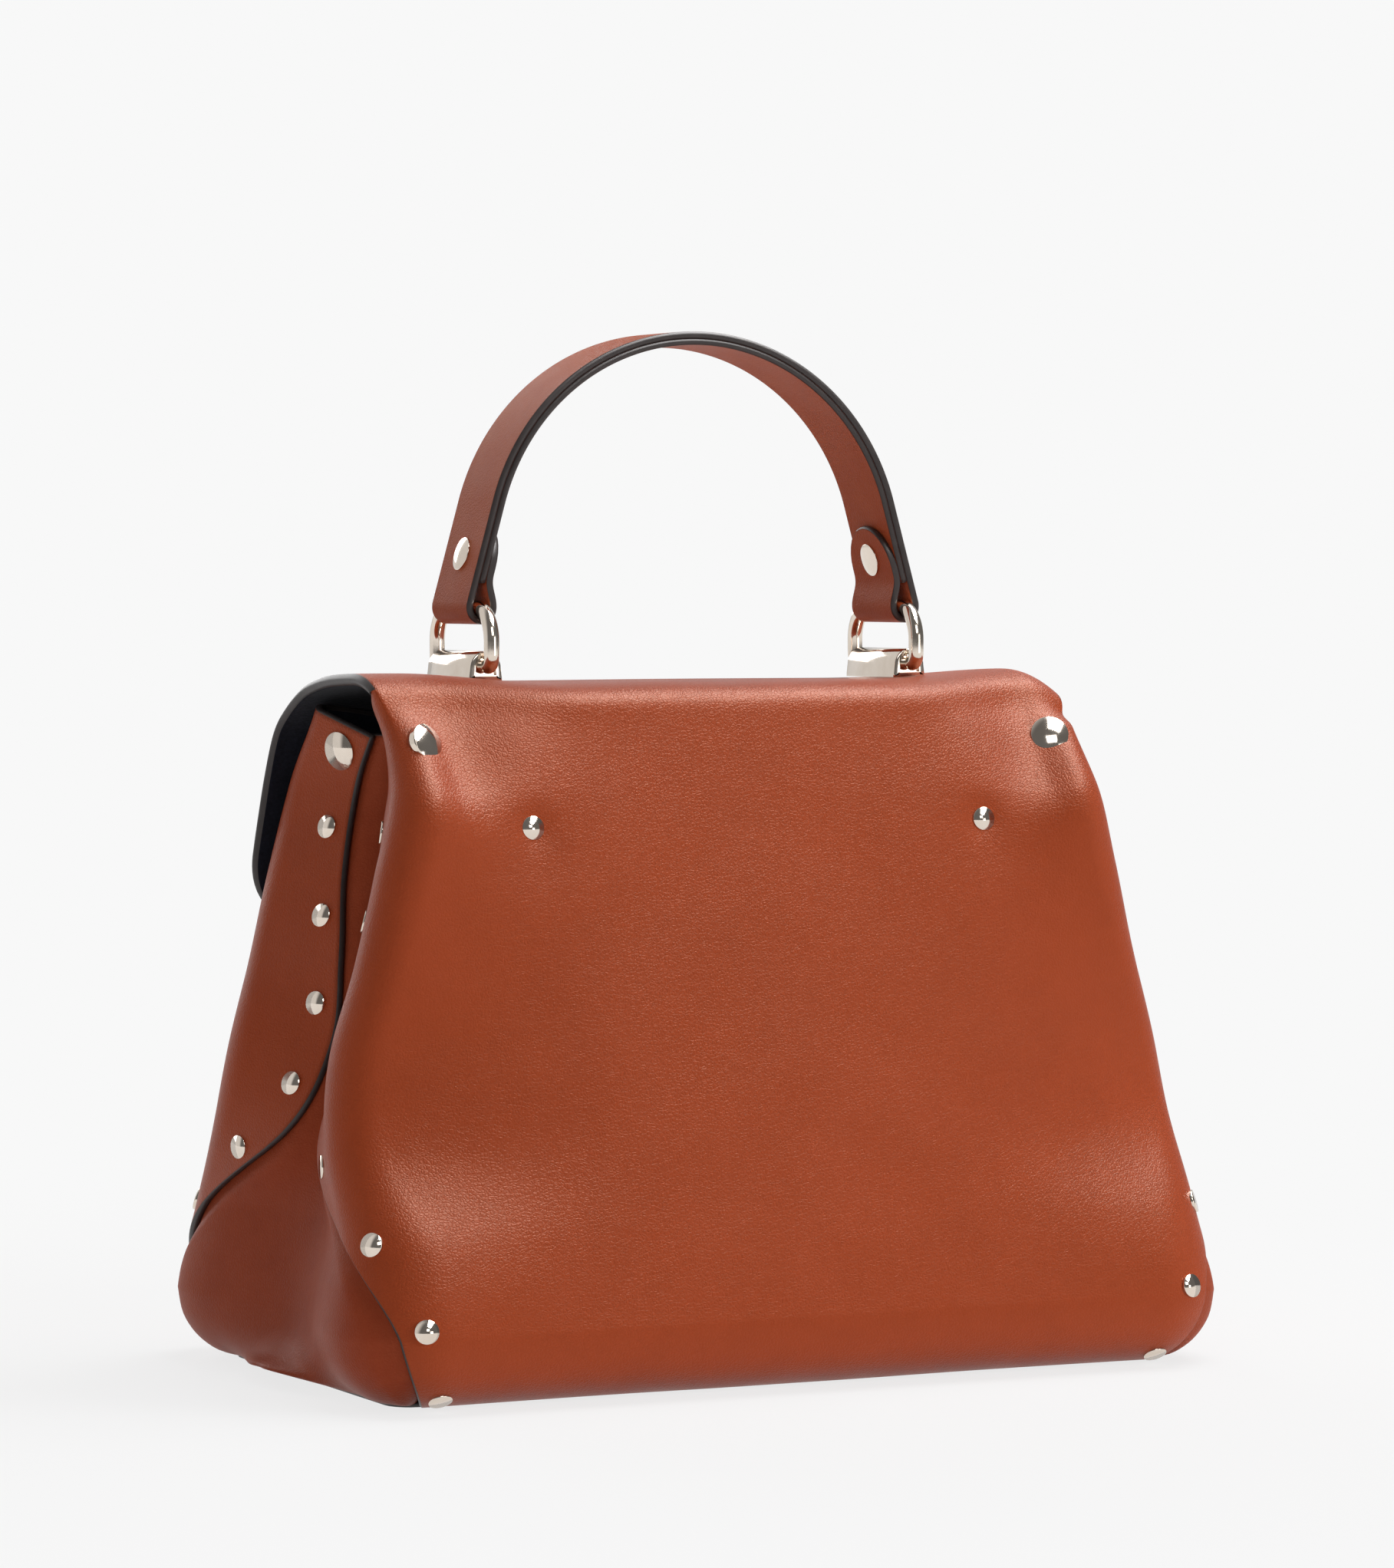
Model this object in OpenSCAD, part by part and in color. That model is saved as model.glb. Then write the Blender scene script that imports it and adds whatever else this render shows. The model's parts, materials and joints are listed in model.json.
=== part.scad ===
// Trapeze bag in smooth calf leather: studded wrap-round corners, folded side
// gussets, a flap that carries the top handle, and a handle on swinging rings.
// Front (flap) is -Y, back is +Y, the base rests on z = 0. Millimetres.

/* [Body] */
// Height of the closed bag up to the top of the flap
body_h = 194.5; // [170:0.5:220]
// Width across the lower corners
base_w = 264; // [240:1:290]
// Width across the upper corners
top_w = 213; // [200:1:230]
// Depth across the lower corners
base_d = 162; // [145:1:180]
// Depth of the mouth, front to back, at the middle
mouth_d = 66; // [60:1:74]
// Depth across the pinched upper corners
pinch_d = 54; // [48:1:60]
// Radius where the walls turn under the base
base_r = 20; // [14:1:22]

/* [Leather] */
// Thickness of the outer leather
leather_t = 1.8; // [1.4:0.1:2.4]
// Thickness of the gusset leather
gusset_t = 1.4; // [1:0.1:1.8]
// Thickness of the suede lining
lining_t = 0.8; // [0.6:0.1:1]
// Thickness of the board inside the flap
board_t = 0.6; // [0.4:0.1:0.8]
// Thickness of the stiffener over the base
stiffener_t = 2; // [1.5:0.1:2.6]
// Air left between glued layers
ply_gap = 0.15; // [0.1:0.01:0.2]

/* [Studs] */
// Diameter of the small domed studs
stud_d = 6.5; // [5:0.1:7]
// Diameter of the corner caps
cap_d = 10.8; // [9:0.1:12]
// Height of a dome above the leather
dome_h = 1.8; // [1.2:0.1:2.2]
// Diameter of a rivet's shank
shank_d = 2.6; // [2:0.1:3]
// Diameter of a rivet's base on the inside
foot_d = 5; // [4:0.1:6]
// Distance of the studs from the cut edge
stud_inset = 9; // [8:0.5:10]
// Height of the lowest stud
stud_low = 3; // [2.5:0.5:5]
// Distance of the highest small stud below the flap's top
stud_down = 41; // [36:0.5:50]
// Half the distance between the pocket rivets
pocket_rivet_x = 70; // [60:1:76]
// Distance of the pocket rivets below the flap's top
pocket_rivet_down = 39.5; // [34:0.5:46]
// Half the distance between the corner caps
cap_x = 98; // [92:0.5:100]
// Distance of the corner caps below the flap's top
cap_down = 15; // [14.5:0.5:18.5]
// Distance of the front edges' caps below the flap's top
front_cap_down = 19.5; // [18.5:0.5:24]

/* [Flap] */
// Drop of the flap from its top to its lower edge
flap_drop = 70; // [62:1:76]
// Width of the flap at its top
flap_top_w = 218; // [206:1:224]
// Width of the flap at its lower edge
flap_low_w = 234; // [222:1:240]
// Radius of the flap's lower corners
flap_corner_r = 20; // [12:1:26]
// Radius where the flap turns down at the front
flap_front_r = 30; // [24:1:32]
// Lean of the hanging part of the flap, in degrees
flap_lean = 7; // [5:0.5:8]
// Room between the flap and the middle of the front, where the snap sits
flap_room = 3.4; // [3:0.1:4]
// Room between the flap and the front's corners
corner_room = 0.8; // [0.6:0.1:1.2]

/* [Handle] */
// Distance between the two ring pivots
handle_span = 134.4; // [120:0.2:144]
// Place of the handle's middle plane, front to back
handle_y = -11; // [-14:0.5:-8]
// Height of the handle's top above the bag
handle_rise = 99.5; // [94:0.5:105]
// Width of the handle strap
strap_w = 24.5; // [22:0.5:26]
// Thickness of the strap's outer leather
strap_t = 2; // [1.6:0.1:2.2]
// Thickness of the strap's inner leather
facing_t = 1.8; // [1.4:0.1:2]
// Outer radius of the handle's arch
arch_r = 66; // [60:1:70]
// Distance of the handle rivet above the ring bar
rivet_up = 14.5; // [13:0.5:18]
// Length of the return tab above the rivet
tab_over = 9.5; // [8:0.5:12]
// Diameter of the handle rivet's caps
handle_cap_d = 9.6; // [8:0.2:10.4]

/* [Rings and mounts] */
// Diameter of the ring's wire
wire_d = 4.4; // [4:0.1:5]
// Width of the ring between the centres of its legs
ring_w = 38; // [36:0.5:41]
// Distance from the ring's pivot to its top bar
ring_h = 16.3; // [15.5:0.1:18]
// Radius of the ring's shoulders
shoulder_r = 8; // [6:0.5:8.5]
// Length of a mount block
block_l = 30.5; // [28:0.5:31]
// Width of a mount block
block_w = 9.5; // [8.5:0.1:10.5]
// Height of a mount block
block_h = 8.5; // [8:0.1:9.5]
// Diameter of the ring's pivot ends
pivot_d = 3.4; // [3:0.1:3.8]
// Clearance all round a pivot end in its bore
pivot_gap = 0.1; // [0.05:0.01:0.15]
// Clearance all round the ring bar in its leather loop
loop_gap = 0.5; // [0.4:0.05:0.7]
// Diameter of the screws under a mount
screw_d = 3; // [2.5:0.1:3.2]
// Half the distance between a mount's two screws
screw_y = 6; // [5:0.5:7]

/* [Hidden] */
$fn = 48;

leather_c = "#A84A2C";
gusset_c = "#8A4630";
suede_c = "#1B1C28";
metal_c = "#C9C6C0";
board_c = "#B9A88C";

// Shaping stations, evenly spaced from the base roll to the mouth. Each list
// has one value a station: the share of the way from top size to base size,
// or a size in millimetres or degrees.
width_share = [1.12, 0.96, 0.94, 0.82, 0.56, 0.33, 0.1, 0];
depth_share = [1.01, 0.86, 0.54, 0.43, 0.42, 0.42, 0.35, 0.04];
corner_radius = [24.5, 20, 14.5, 12.7, 11.4, 11, 9, 7];
fold_angle = [-5, 3, 18, 30, 24, 25, 23, 21];
edge_width = [-5, 15, 41, 46, 43.5, 37, 33.5, 31];
valley_depth = [12.7, 13.5, 20, 33, 37, 38, 37, 36];
stations = len(width_share) - 1;

mouth_z = body_h - 4.5;      // where the last station lies
hinge_z = body_h - 8.5;      // the flap starts here, at the back
front_z = body_h - 12.5;     // top edge of the front panel
gusset_z = body_h - 15;      // top edge of the gussets
edge_run = 8;                // how far the cut edge drifts inwards under the base
base_side = base_w / 2 - 13; // straight side edges of the base leather
stud_high = body_h - stud_down;
pocket_rivet_z = body_h - pocket_rivet_down;
cap_z = body_h - cap_down;
front_cap_z = body_h - front_cap_down;
face_cols = 3;               // panel columns across half of the flat face
corner_bend = 18;            // stretch of panel that turns into the corner's ridge
bend_share = [1, 0.55, 0.25];
edge_cols = 8;               // columns from the ridge to the cut edge
ridge_room = 20;             // least distance from the ridge to the cut edge
lap_cols = 4;                // columns of gusset hidden under the studded edge
gusset_cols = 7;             // columns from the studded edge to the fold's valley
roll_angles = [90, 67, 45, 22];
wall_rows = 10;
seam_gap = 0.3;
part_gap = 0.3;
suede_in = leather_t + ply_gap;
gusset_in = leather_t + seam_gap;

// Smooth curve through evenly spaced values, t from 0 to the last index
function at(v, t) =
    let (n = len(v) - 1, i = min(floor(t), n - 1), f = t - i,
         a = v[max(i - 1, 0)], b = v[i], c = v[i + 1], d = v[min(i + 2, n)])
    b + f * ((c - a) / 2 + f * ((a - 2.5 * b + 2 * c - d / 2)
        + f * (1.5 * (b - c) + (d - a) / 2)));
function mix(a, b, f) = a + (b - a) * f;
function ease(f) = let (c = max(0, min(1, f))) c * c * (3 - 2 * c);
function station(z) = stations * (z - base_r) / (mouth_z - base_r);
function face_y(t) = mix(base_d - 1, mouth_d, t / stations) / 2;

// Everything that describes one plan section of a quarter of the body
function section(t) =
    let (wide = mix(top_w, base_w, at(width_share, t)) / 2,
         deep = mix(pinch_d, base_d, at(depth_share, t)) / 2,
         r = at(corner_radius, t), fold = at(fold_angle, t),
         cx = wide - r, cy = deep - r, mid = face_y(t),
         start = 90 - atan(3 * (mid - deep) / cx),
         xe = cx + r * cos(start), ye = cy + r * sin(start),
         s1 = xe, s2 = s1 + r * (start + fold) * PI / 180,
         strip = max(0, at(edge_width, t) - r * (45 + fold) * PI / 180),
         run = [-sin(fold), -cos(fold)],
         turn = [cx + r * cos(fold), cy - r * sin(fold)],
         tip = turn + run * strip, s3 = s2 + strip,
         valley = [wide - at(valley_depth, t), 0], chord = norm(tip - valley),
         edge = s1 + r * (start - 45) * PI / 180 + at(edge_width, t))
    [mid, xe, ye, cx, cy, r, start, fold, s1, s2, s3, tip, run, valley, chord, edge];
function edge_s(q) = q[15];
function valley_s(q) = q[10] + 1.1 * q[14];

// Point and outward normal of a section at distance s from the face's middle
function on_section(q, s) =
    s < q[8] ?
        let (f = s / q[8], slope = 3 * (q[0] - q[2]) * f * f / q[1])
        [[q[1] * f, q[0] - (q[0] - q[2]) * f * f * f], [slope, 1] / norm([slope, 1])]
    : s < q[9] ?
        let (a = q[6] - (s - q[8]) / q[5] * 180 / PI)
        [[q[3], q[4]] + q[5] * [cos(a), sin(a)], [cos(a), sin(a)]]
    : s < q[10] ?
        [q[11] - q[12] * (q[10] - s), [-q[12][1], q[12][0]]]
    :
        let (f = min(1, (s - q[10]) / (1.1 * q[14])), k = q[14],
             m0 = q[12] * k, m1 = [0, -k * 0.8],
             p = q[11] * (1 + f * f * (2 * f - 3)) + m0 * (f * (1 - f) * (1 - f))
                 + q[13] * (f * f * (3 - 2 * f)) + m1 * (f * f * (f - 1)),
             d = (q[13] - q[11]) * (6 * f * (1 - f)) + m0 * ((1 - f) * (1 - 3 * f))
                 + m1 * (f * (3 * f - 2)))
        [p, [-d[1], d[0]] / norm(d)];

// A row is [station, roll angle]; the roll angle runs from 0 on the wall to 90
// on the floor. Wall rows lie closer together low down, where the corners turn.
// All plies share the rows and columns, so that their facets stay parallel.
all_rows = concat([for (a = roll_angles) [0, a]],
    [for (i = [0:wall_rows])
        let (f = i / wall_rows) [station(gusset_z) * f * (0.55 + 0.45 * f), 0]],
    [[station(front_z), 0], [station(hinge_z), 0]]);
function rows(drop, low = 0) = [for (i = [low:len(all_rows) - 1 - drop]) all_rows[i]];
function row_edge(q, row) = edge_s(q) - edge_run * row[1] / 90;
// off is the distance out from the body's outer surface
function body_point(q, row, s, off) =
    let (h = on_section(q, s), out = (base_r + off) * cos(row[1]) - base_r,
         p = h[0] + h[1] * (row[1] > 0 ? out : off))
    [p[0], p[1], row[1] > 0 ? base_r - (base_r + off) * sin(row[1])
        : base_r + row[0] * (mouth_z - base_r) / stations];

// Near its fold the gusset's lower edge flares out over the base leather; all
// along, it is tucked back on to that leather. The lists run over the roll
// angle, from the wall to the tuck: how far out the flare goes, how high as a
// share of the roll, and which way its face turns.
hem_out = [0, 2, 6.5, 12, 9];
hem_up = [1, 0.65, 0.39, 0.24, 0.1];
hem_turn = [0, 18, 40, 0, -90];
hem_lap = 2;                 // how far the tuck lies on the base leather
hem_seat = 0.6;
function gusset_point(q, row, s, edge, off) =
    let (flat = body_point(q, row, s, off), h = on_section(q, s), i = row[1] / 22.5,
         out = at(hem_out, i) + off * cos(at(hem_turn, i)),
         flare = [h[0][0] + h[1][0] * out, h[0][1] + h[1][1] * out,
                  at(hem_up, i) * base_r + off * sin(at(hem_turn, i))],
         tuck = [base_side - hem_lap, flat[1], leather_t + hem_seat - off])
    row[1] == 0 ? flat : row[1] == 90 ? mix(flat, tuck, ease((s - edge - 4) / 24))
        : mix(flare, flat, ease((valley_s(q) - s - 6) / 48));

// The back is puckered by its caps, the front pressed in by the flap
function dent(p, x, z, deep, r) = deep * exp(-(pow(p[0] - x, 2) + pow(p[2] - z, 2)) / (r * r));
function back_pull(p) = ease((cap_x + 9 - p[0]) / 9) * dent(p, cap_x - 5, cap_z, 3.5, 9);
// Inside face of the closed flap, as a distance from the body's middle plane
function flap_in_y(z) =
    let (r = flap_front_r - flap_t, rise = z - body_h + flap_front_r,
         turn = r * sin(flap_lean))
    -front_c[0] + (rise > turn ? sqrt(max(0, r * r - rise * rise))
        : r * cos(flap_lean) + (turn - rise) * tan(flap_lean));
// off is the ply's distance from the outer surface, so that all plies move alike
function front_press(p, off) =
    let (room = mix(corner_room, flap_room, ease((cap_x - p[0]) / 40)),
         low = body_h - flap_drop,
         over = p[1] - off - flap_in_y(p[2]) + room + 0.5)
    ease((p[2] - low + 34) / 34) * (over < 0 ? 0 : over < 1 ? over * over / 2 : over - 0.5);
function pulled(p, front, off) =
    [p[0], p[1] - (front ? front_press(p, off) : back_pull(p)), p[2]];

// Half a panel's columns, from the middle towards the cut edge at last. One
// column follows the corner's ridge, so that the facets don't cross it.
function ridge_s(q, last) = min(q[8] + 0.45 * (q[9] - q[8]), last - ridge_room);
function col_step(q, last) = (last - ridge_s(q, last)) / edge_cols;
function half_cols(q, last, short) =
    let (ridge = ridge_s(q, last), step = col_step(q, last))
    concat([for (i = [0:face_cols - 1]) i / face_cols * (ridge - corner_bend)],
           [for (f = bend_share) ridge - corner_bend * f],
           [for (i = [edge_cols:-1:short]) last - i * step]);
function panel_grid(drop, short, off, front) = [for (row = rows(drop))
    let (q = section(row[0]),
         half = [for (s = half_cols(q, row_edge(q, row), short))
             pulled(body_point(q, row, s, off), front, off)])
    concat([for (i = [len(half) - 1:-1:1]) [-half[i][0], half[i][1], half[i][2]]], half)];
function gusset_off(s, edge) = -gusset_in * (1 - ease((s - edge) / 12));
function gusset_grid(drop, short, low, off) = [for (row = rows(drop, low))
    let (q = section(row[0]), edge = row_edge(q, row),
         cols = concat([for (i = [lap_cols - short:-1:1]) edge - i * col_step(q, edge)],
             [for (i = [0:gusset_cols]) mix(edge, valley_s(q), i / gusset_cols)]),
         half = [for (s = cols) gusset_point(q, row, s, edge, gusset_off(s, edge) + off)])
    concat(half, [for (i = [len(half) - 2:-1:0]) [half[i][0], -half[i][1], half[i][2]]])];

// Closed sheet between an outer and an inner grid of points. The quads' split
// turns over at the middle column; left says which half has the split turned.
module sheet(outer, inner, left) {
    m = len(outer);
    n = len(outer[0]);
    k = m * n;
    points = concat([for (r = outer) for (p = r) p], [for (r = inner) for (p = r) p]);
    function split(f, turned) = turned ? [[f[0], f[1], f[3]], [f[1], f[2], f[3]]]
        : [[f[0], f[1], f[2]], [f[0], f[2], f[3]]];
    faces = concat(
        [for (i = [0:m - 2]) for (j = [0:n - 2])
            let (a = i * n + j, turned = (j < (n - 1) / 2) == left)
            concat(split([a, a + 1, a + n + 1, a + n], turned),
                   split([k + a, k + a + n, k + a + n + 1, k + a + 1], turned))],
        [for (j = [0:n - 2]) let (a = (m - 1) * n + j)
            concat(split([j, k + j, k + j + 1, j + 1], false),
                   split([a, a + 1, k + a + 1, k + a], false))],
        [for (i = [0:m - 2]) let (a = i * n, b = i * n + n - 1)
            concat(split([a, a + n, k + a + n, k + a], false),
                   split([b, k + b, k + b + n, b + n], false))]);
    polyhedron(points, [for (group = faces) for (f = group) f]);
}

// Ply of a panel or a gusset between two depths. drop leaves out rows at the
// top, low leaves out rows at the floor, and short leaves out columns at the
// studded edge.
module panel(drop, short, from, to, front) {
    sheet(panel_grid(drop, short, -from, front), panel_grid(drop, short, -to, front), true);
}
module gusset(drop, short, low, from, to) {
    sheet(gusset_grid(drop, short, low, -from), gusset_grid(drop, short, low, -to), false);
}

// Turn a piece built along +Z to point along n
module along(p, n) {
    translate(p) rotate([0, acos(n[2] / norm(n)), atan2(n[1], n[0])]) children();
}

// Domed rivet: head on the leather, shank through it, base on the inside
module rivet(head_d, rise, grip) {
    ball_r = (head_d * head_d / 4 + rise * rise) / (2 * rise);
    intersection() {
        translate([0, 0, rise - ball_r]) sphere(r = ball_r);
        cylinder(d = head_d, h = rise);
    }
    translate([0, 0, -grip]) cylinder(d = shank_d, h = grip);
    translate([0, 0, -grip - 0.8]) cylinder(d = foot_d, h = 0.8);
}

// Outer surface of the body at a height and a distance from the cut edge
function surface_at(z, inset, front) =
    z < base_r ?
        let (q = section(0), a = asin((base_r - z) / base_r), row = [0, a])
        body_point(q, row, row_edge(q, row) - inset, 0)
    :
        let (row = [station(z), 0], q = section(row[0]))
        pulled(body_point(q, row, row_edge(q, row) - inset, 0), front, 0);
function surface_normal(z, inset, front) =
    let (a = surface_at(z - 0.5, inset, front), b = surface_at(z + 0.5, inset, front),
         c = surface_at(z, inset - 0.5, front), d = surface_at(z, inset + 0.5, front),
         n = cross(d - c, b - a))
    n / norm(n);
function inset_of(z, x) =
    let (row = [station(z), 0], q = section(row[0])) row_edge(q, row) - x;

// Heights of the studs along one edge, as shares of the way from lowest to
// highest, and how much further in from the cut edge each one was set
stud_share = [0, 0.132, 0.279, 0.399, 0.525, 0.674, 0.836, 1];
stud_shift = [0, -1, 3.4, 2, -0.5, -1.5, -2, -1];
grip = gusset_in + gusset_t + ply_gap + lining_t;

module stud_row() {
    for (i = [0:len(stud_share) - 1])
        let (z = mix(stud_low, stud_high, stud_share[i]), inset = stud_inset + stud_shift[i])
        along(surface_at(z, inset, false), surface_normal(z, inset, false))
            translate([0, 0, 0.05]) rivet(stud_d, dome_h, grip);
}

// Outline of the base leather: along the walls' turned edge, round the corners
// and straight along the sides
function floor_ring(off) =
    let (q = section(0),
         wall = [for (s = half_cols(q, row_edge(q, [0, 90]), 0))
             let (h = on_section(q, s)) h[0] + h[1] * off],
         last = wall[len(wall) - 1],
         quarter = concat(wall, [[base_side - 3, last[1] - 4], [base_side, last[1] - 9]]),
         n = len(quarter) - 1)
    concat(quarter, [for (i = [n:-1:0]) [quarter[i][0], -quarter[i][1]]],
           [for (i = [1:n]) [-quarter[i][0], -quarter[i][1]]],
           [for (i = [n:-1:1]) [-quarter[i][0], quarter[i][1]]]);

module base_panel() {
    color(leather_c) linear_extrude(leather_t) polygon(floor_ring(-base_r - part_gap));
}
module base_stiffener() {
    color(board_c) translate([0, 0, leather_t + ply_gap]) linear_extrude(stiffener_t)
        offset(delta = -6) polygon(floor_ring(-base_r));
}
module base_lining() {
    color(suede_c) translate([0, 0, leather_t + stiffener_t + 2 * ply_gap])
        linear_extrude(lining_t) offset(delta = -4) polygon(floor_ring(-base_r));
}
module back_panel() { color(leather_c) panel(0, 0, 0, leather_t, false); }
module front_panel() {
    color(leather_c) mirror([0, 1, 0]) panel(1, 0, 0, leather_t, true);
}
module back_lining() {
    color(suede_c) panel(1, lap_cols + 1, suede_in, suede_in + lining_t, false);
}
module front_lining() {
    color(suede_c) mirror([0, 1, 0])
        panel(2, lap_cols + 1, suede_in, suede_in + lining_t, true);
}
module gusset_right() { color(gusset_c) gusset(2, 0, 0, 0, gusset_t); }
module gusset_left() { mirror([1, 0, 0]) gusset_right(); }
module gusset_lining_right() {
    color(suede_c) gusset(2, 1, 2, gusset_t + ply_gap, gusset_t + ply_gap + lining_t);
}
module gusset_lining_left() { mirror([1, 0, 0]) gusset_lining_right(); }

module studs_back_right() { color(metal_c) stud_row(); }
module studs_back_left() { mirror([1, 0, 0]) studs_back_right(); }
module studs_front_right() { mirror([0, 1, 0]) studs_back_right(); }
module studs_front_left() { mirror([0, 1, 0]) studs_back_left(); }

module both_sides() {
    children();
    mirror([1, 0, 0]) children();
}
module corner_caps_back() {
    inset = inset_of(cap_z, cap_x);
    color(metal_c) both_sides()
        along(surface_at(cap_z, inset, false), surface_normal(cap_z, inset, false))
            translate([0, 0, 0.05]) rivet(cap_d, dome_h, leather_t + ply_gap + lining_t);
}
module corner_caps_front() {
    inset = cap_d / 2 + 5;
    color(metal_c) both_sides() mirror([0, 1, 0])
        along(surface_at(front_cap_z, inset, false), surface_normal(front_cap_z, inset, false))
            translate([0, 0, 0.05]) rivet(cap_d, dome_h, grip);
}

// Slip pocket inside the back, hung from two rivets
pocket_t = 1.2;
pocket_in = suede_in + lining_t + 2.6;
pocket_half_w = pocket_rivet_x + 8;
pocket_top_z = pocket_rivet_z + 8;
pocket_low_z = 60;
module inner_pocket() {
    function grid(off) = [for (i = [0:5])
        let (z = mix(pocket_low_z, pocket_top_z, i / 5), row = [station(z), 0],
             q = section(row[0]),
             half = [for (j = [0:5])
                 pulled(body_point(q, row, pocket_half_w * j / 5, -off), false, -off)])
        concat([for (j = [5:-1:1]) [-half[j][0], half[j][1], half[j][2]]], half)];
    color(suede_c) sheet(grid(pocket_in), grid(pocket_in + pocket_t), true);
}
module pocket_rivets() {
    inset = inset_of(pocket_rivet_z, pocket_rivet_x);
    color(metal_c) both_sides()
        along(surface_at(pocket_rivet_z, inset, false),
              surface_normal(pocket_rivet_z, inset, false))
            translate([0, 0, 0.05]) rivet(stud_d, dome_h, pocket_in + pocket_t);
}

// Flap profile in the Y-Z plane: up from the hinge, over the top, down the front
hinge_y = face_y(station(hinge_z));
back_r = body_h - hinge_z - part_gap;
front_c = [-18.5, body_h - flap_front_r];
function arc(c, r, a0, a1, n) =
    [for (i = [0:n]) c + r * [cos(mix(a0, a1, i / n)), sin(mix(a0, a1, i / n))]];
function flap_line(off) =
    let (last = front_c + (flap_front_r - off) * [-cos(flap_lean), sin(flap_lean)],
         low = body_h - flap_drop,
         drop = last[1] - low)
    concat(arc([hinge_y - back_r, body_h - back_r], back_r - off, 0, 90, 8),
           arc(front_c, flap_front_r - off, 90, 180 - flap_lean, 12),
           [last - [drop * tan(flap_lean), drop]]);
function reversed(v) = [for (i = [len(v) - 1:-1:0]) v[i]];

// Front outline of the flap, with its rounded lower corners
module flap_outline() {
    low = body_h - flap_drop;
    r = flap_corner_r;
    slope = (flap_low_w - flap_top_w) / 2 / flap_drop;
    hull() {
        translate([-flap_top_w / 2, body_h - 1]) square([flap_top_w, 2]);
        for (s = [-1, 1])
            translate([s * (flap_low_w / 2 - r - slope * r), low + r]) circle(r = r);
    }
}
module flap_layer(from, to) {
    intersection() {
        rotate([90, 0, 90]) linear_extrude(flap_low_w + 20, center = true)
            polygon(concat(flap_line(from), reversed(flap_line(to))));
        translate([0, 80, 0]) rotate([90, 0, 0]) linear_extrude(160) flap_outline();
        linear_extrude(body_h + 1) flap_plan();
    }
}
// Plan of the flap: its back corners draw in to meet the pinched body
module flap_plan() {
    draw_in = hinge_y - pinch_d / 2;
    polygon([[-flap_low_w, -90], [flap_low_w, -90], [flap_low_w, pinch_d / 2],
             [flap_top_w / 2, pinch_d / 2], [flap_top_w / 2 - 2 * draw_in, hinge_y + 1],
             [-flap_top_w / 2 + 2 * draw_in, hinge_y + 1], [-flap_top_w / 2, pinch_d / 2],
             [-flap_low_w, pinch_d / 2]]);
}
module screw_holes(d) {
    for (s = [-1, 1]) for (y = [-screw_y, screw_y])
        translate([s * handle_span / 2, handle_y + y, body_h - 10]) cylinder(d = d, h = 20);
}
flap_t = leather_t + board_t + lining_t + 2 * ply_gap;
module flap_leather() {
    color(leather_c) difference() {
        flap_layer(0, leather_t);
        screw_holes(screw_d + 0.4);
    }
}
module flap_board() {
    color(board_c) difference() {
        flap_layer(leather_t + ply_gap, leather_t + ply_gap + board_t);
        screw_holes(screw_d + 0.4);
    }
}
module flap_lining() {
    color(suede_c) difference() {
        flap_layer(flap_t - lining_t, flap_t);
        screw_holes(screw_d + 0.4);
    }
}

// Magnetic snap hidden under the flap: one disc on each side of the gap
snap_d = 16;
snap_t = 1;
snap_z = body_h - 56;
snap_seat = 0.35;
function front_at(z) =
    let (row = [station(z), 0]) pulled(body_point(section(row[0]), row, 0, 0), true, 0);
module snap_lower() {
    reach = front_at(snap_z - snap_d / 2) - front_at(snap_z + snap_d / 2);
    color(metal_c) mirror([0, 1, 0])
        along(front_at(snap_z), [0, -reach[2], reach[1]])
            translate([0, 0, snap_seat]) cylinder(d = snap_d, h = snap_t);
}
module snap_upper() {
    line = flap_line(flap_t + snap_seat);
    low = line[len(line) - 1];
    y = low[0] + (snap_z - low[1]) * tan(flap_lean);
    color(metal_c) translate([0, y, snap_z]) rotate([-90 - flap_lean, 0, 0])
        cylinder(d = snap_d, h = snap_t);
}

// Mount block: a bar with a rounded top, bored at both ends for the ring
block_z = body_h + ply_gap;
pivot_z = block_z + block_h / 2;
bore_depth = 4.5;
module mount_block() {
    bore = pivot_d / 2 + pivot_gap;
    translate([0, handle_y, block_z]) difference() {
        translate([0, block_l / 2, 0]) rotate([90, 0, 0]) linear_extrude(block_l)
            intersection() {
                translate([-block_w / 2, 0]) square([block_w, block_h]);
                union() {
                    translate([0, block_h - block_w / 2]) circle(d = block_w);
                    translate([-block_w / 2, 0]) square([block_w, block_h - block_w / 2]);
                }
            }
        for (s = [0, 1]) mirror([0, s, 0])
            translate([0, block_l / 2 + 1, pivot_z - block_z])
                rotate([90, 0, 0]) cylinder(r = bore, h = bore_depth + 1);
        for (y = [-screw_y, screw_y])
            translate([0, y, -1]) cylinder(d = screw_d + 0.1, h = 6);
    }
}
module handle_mount_right() {
    color(metal_c) translate([handle_span / 2, 0, 0]) mount_block();
}
module handle_mount_left() { mirror([1, 0, 0]) handle_mount_right(); }

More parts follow.
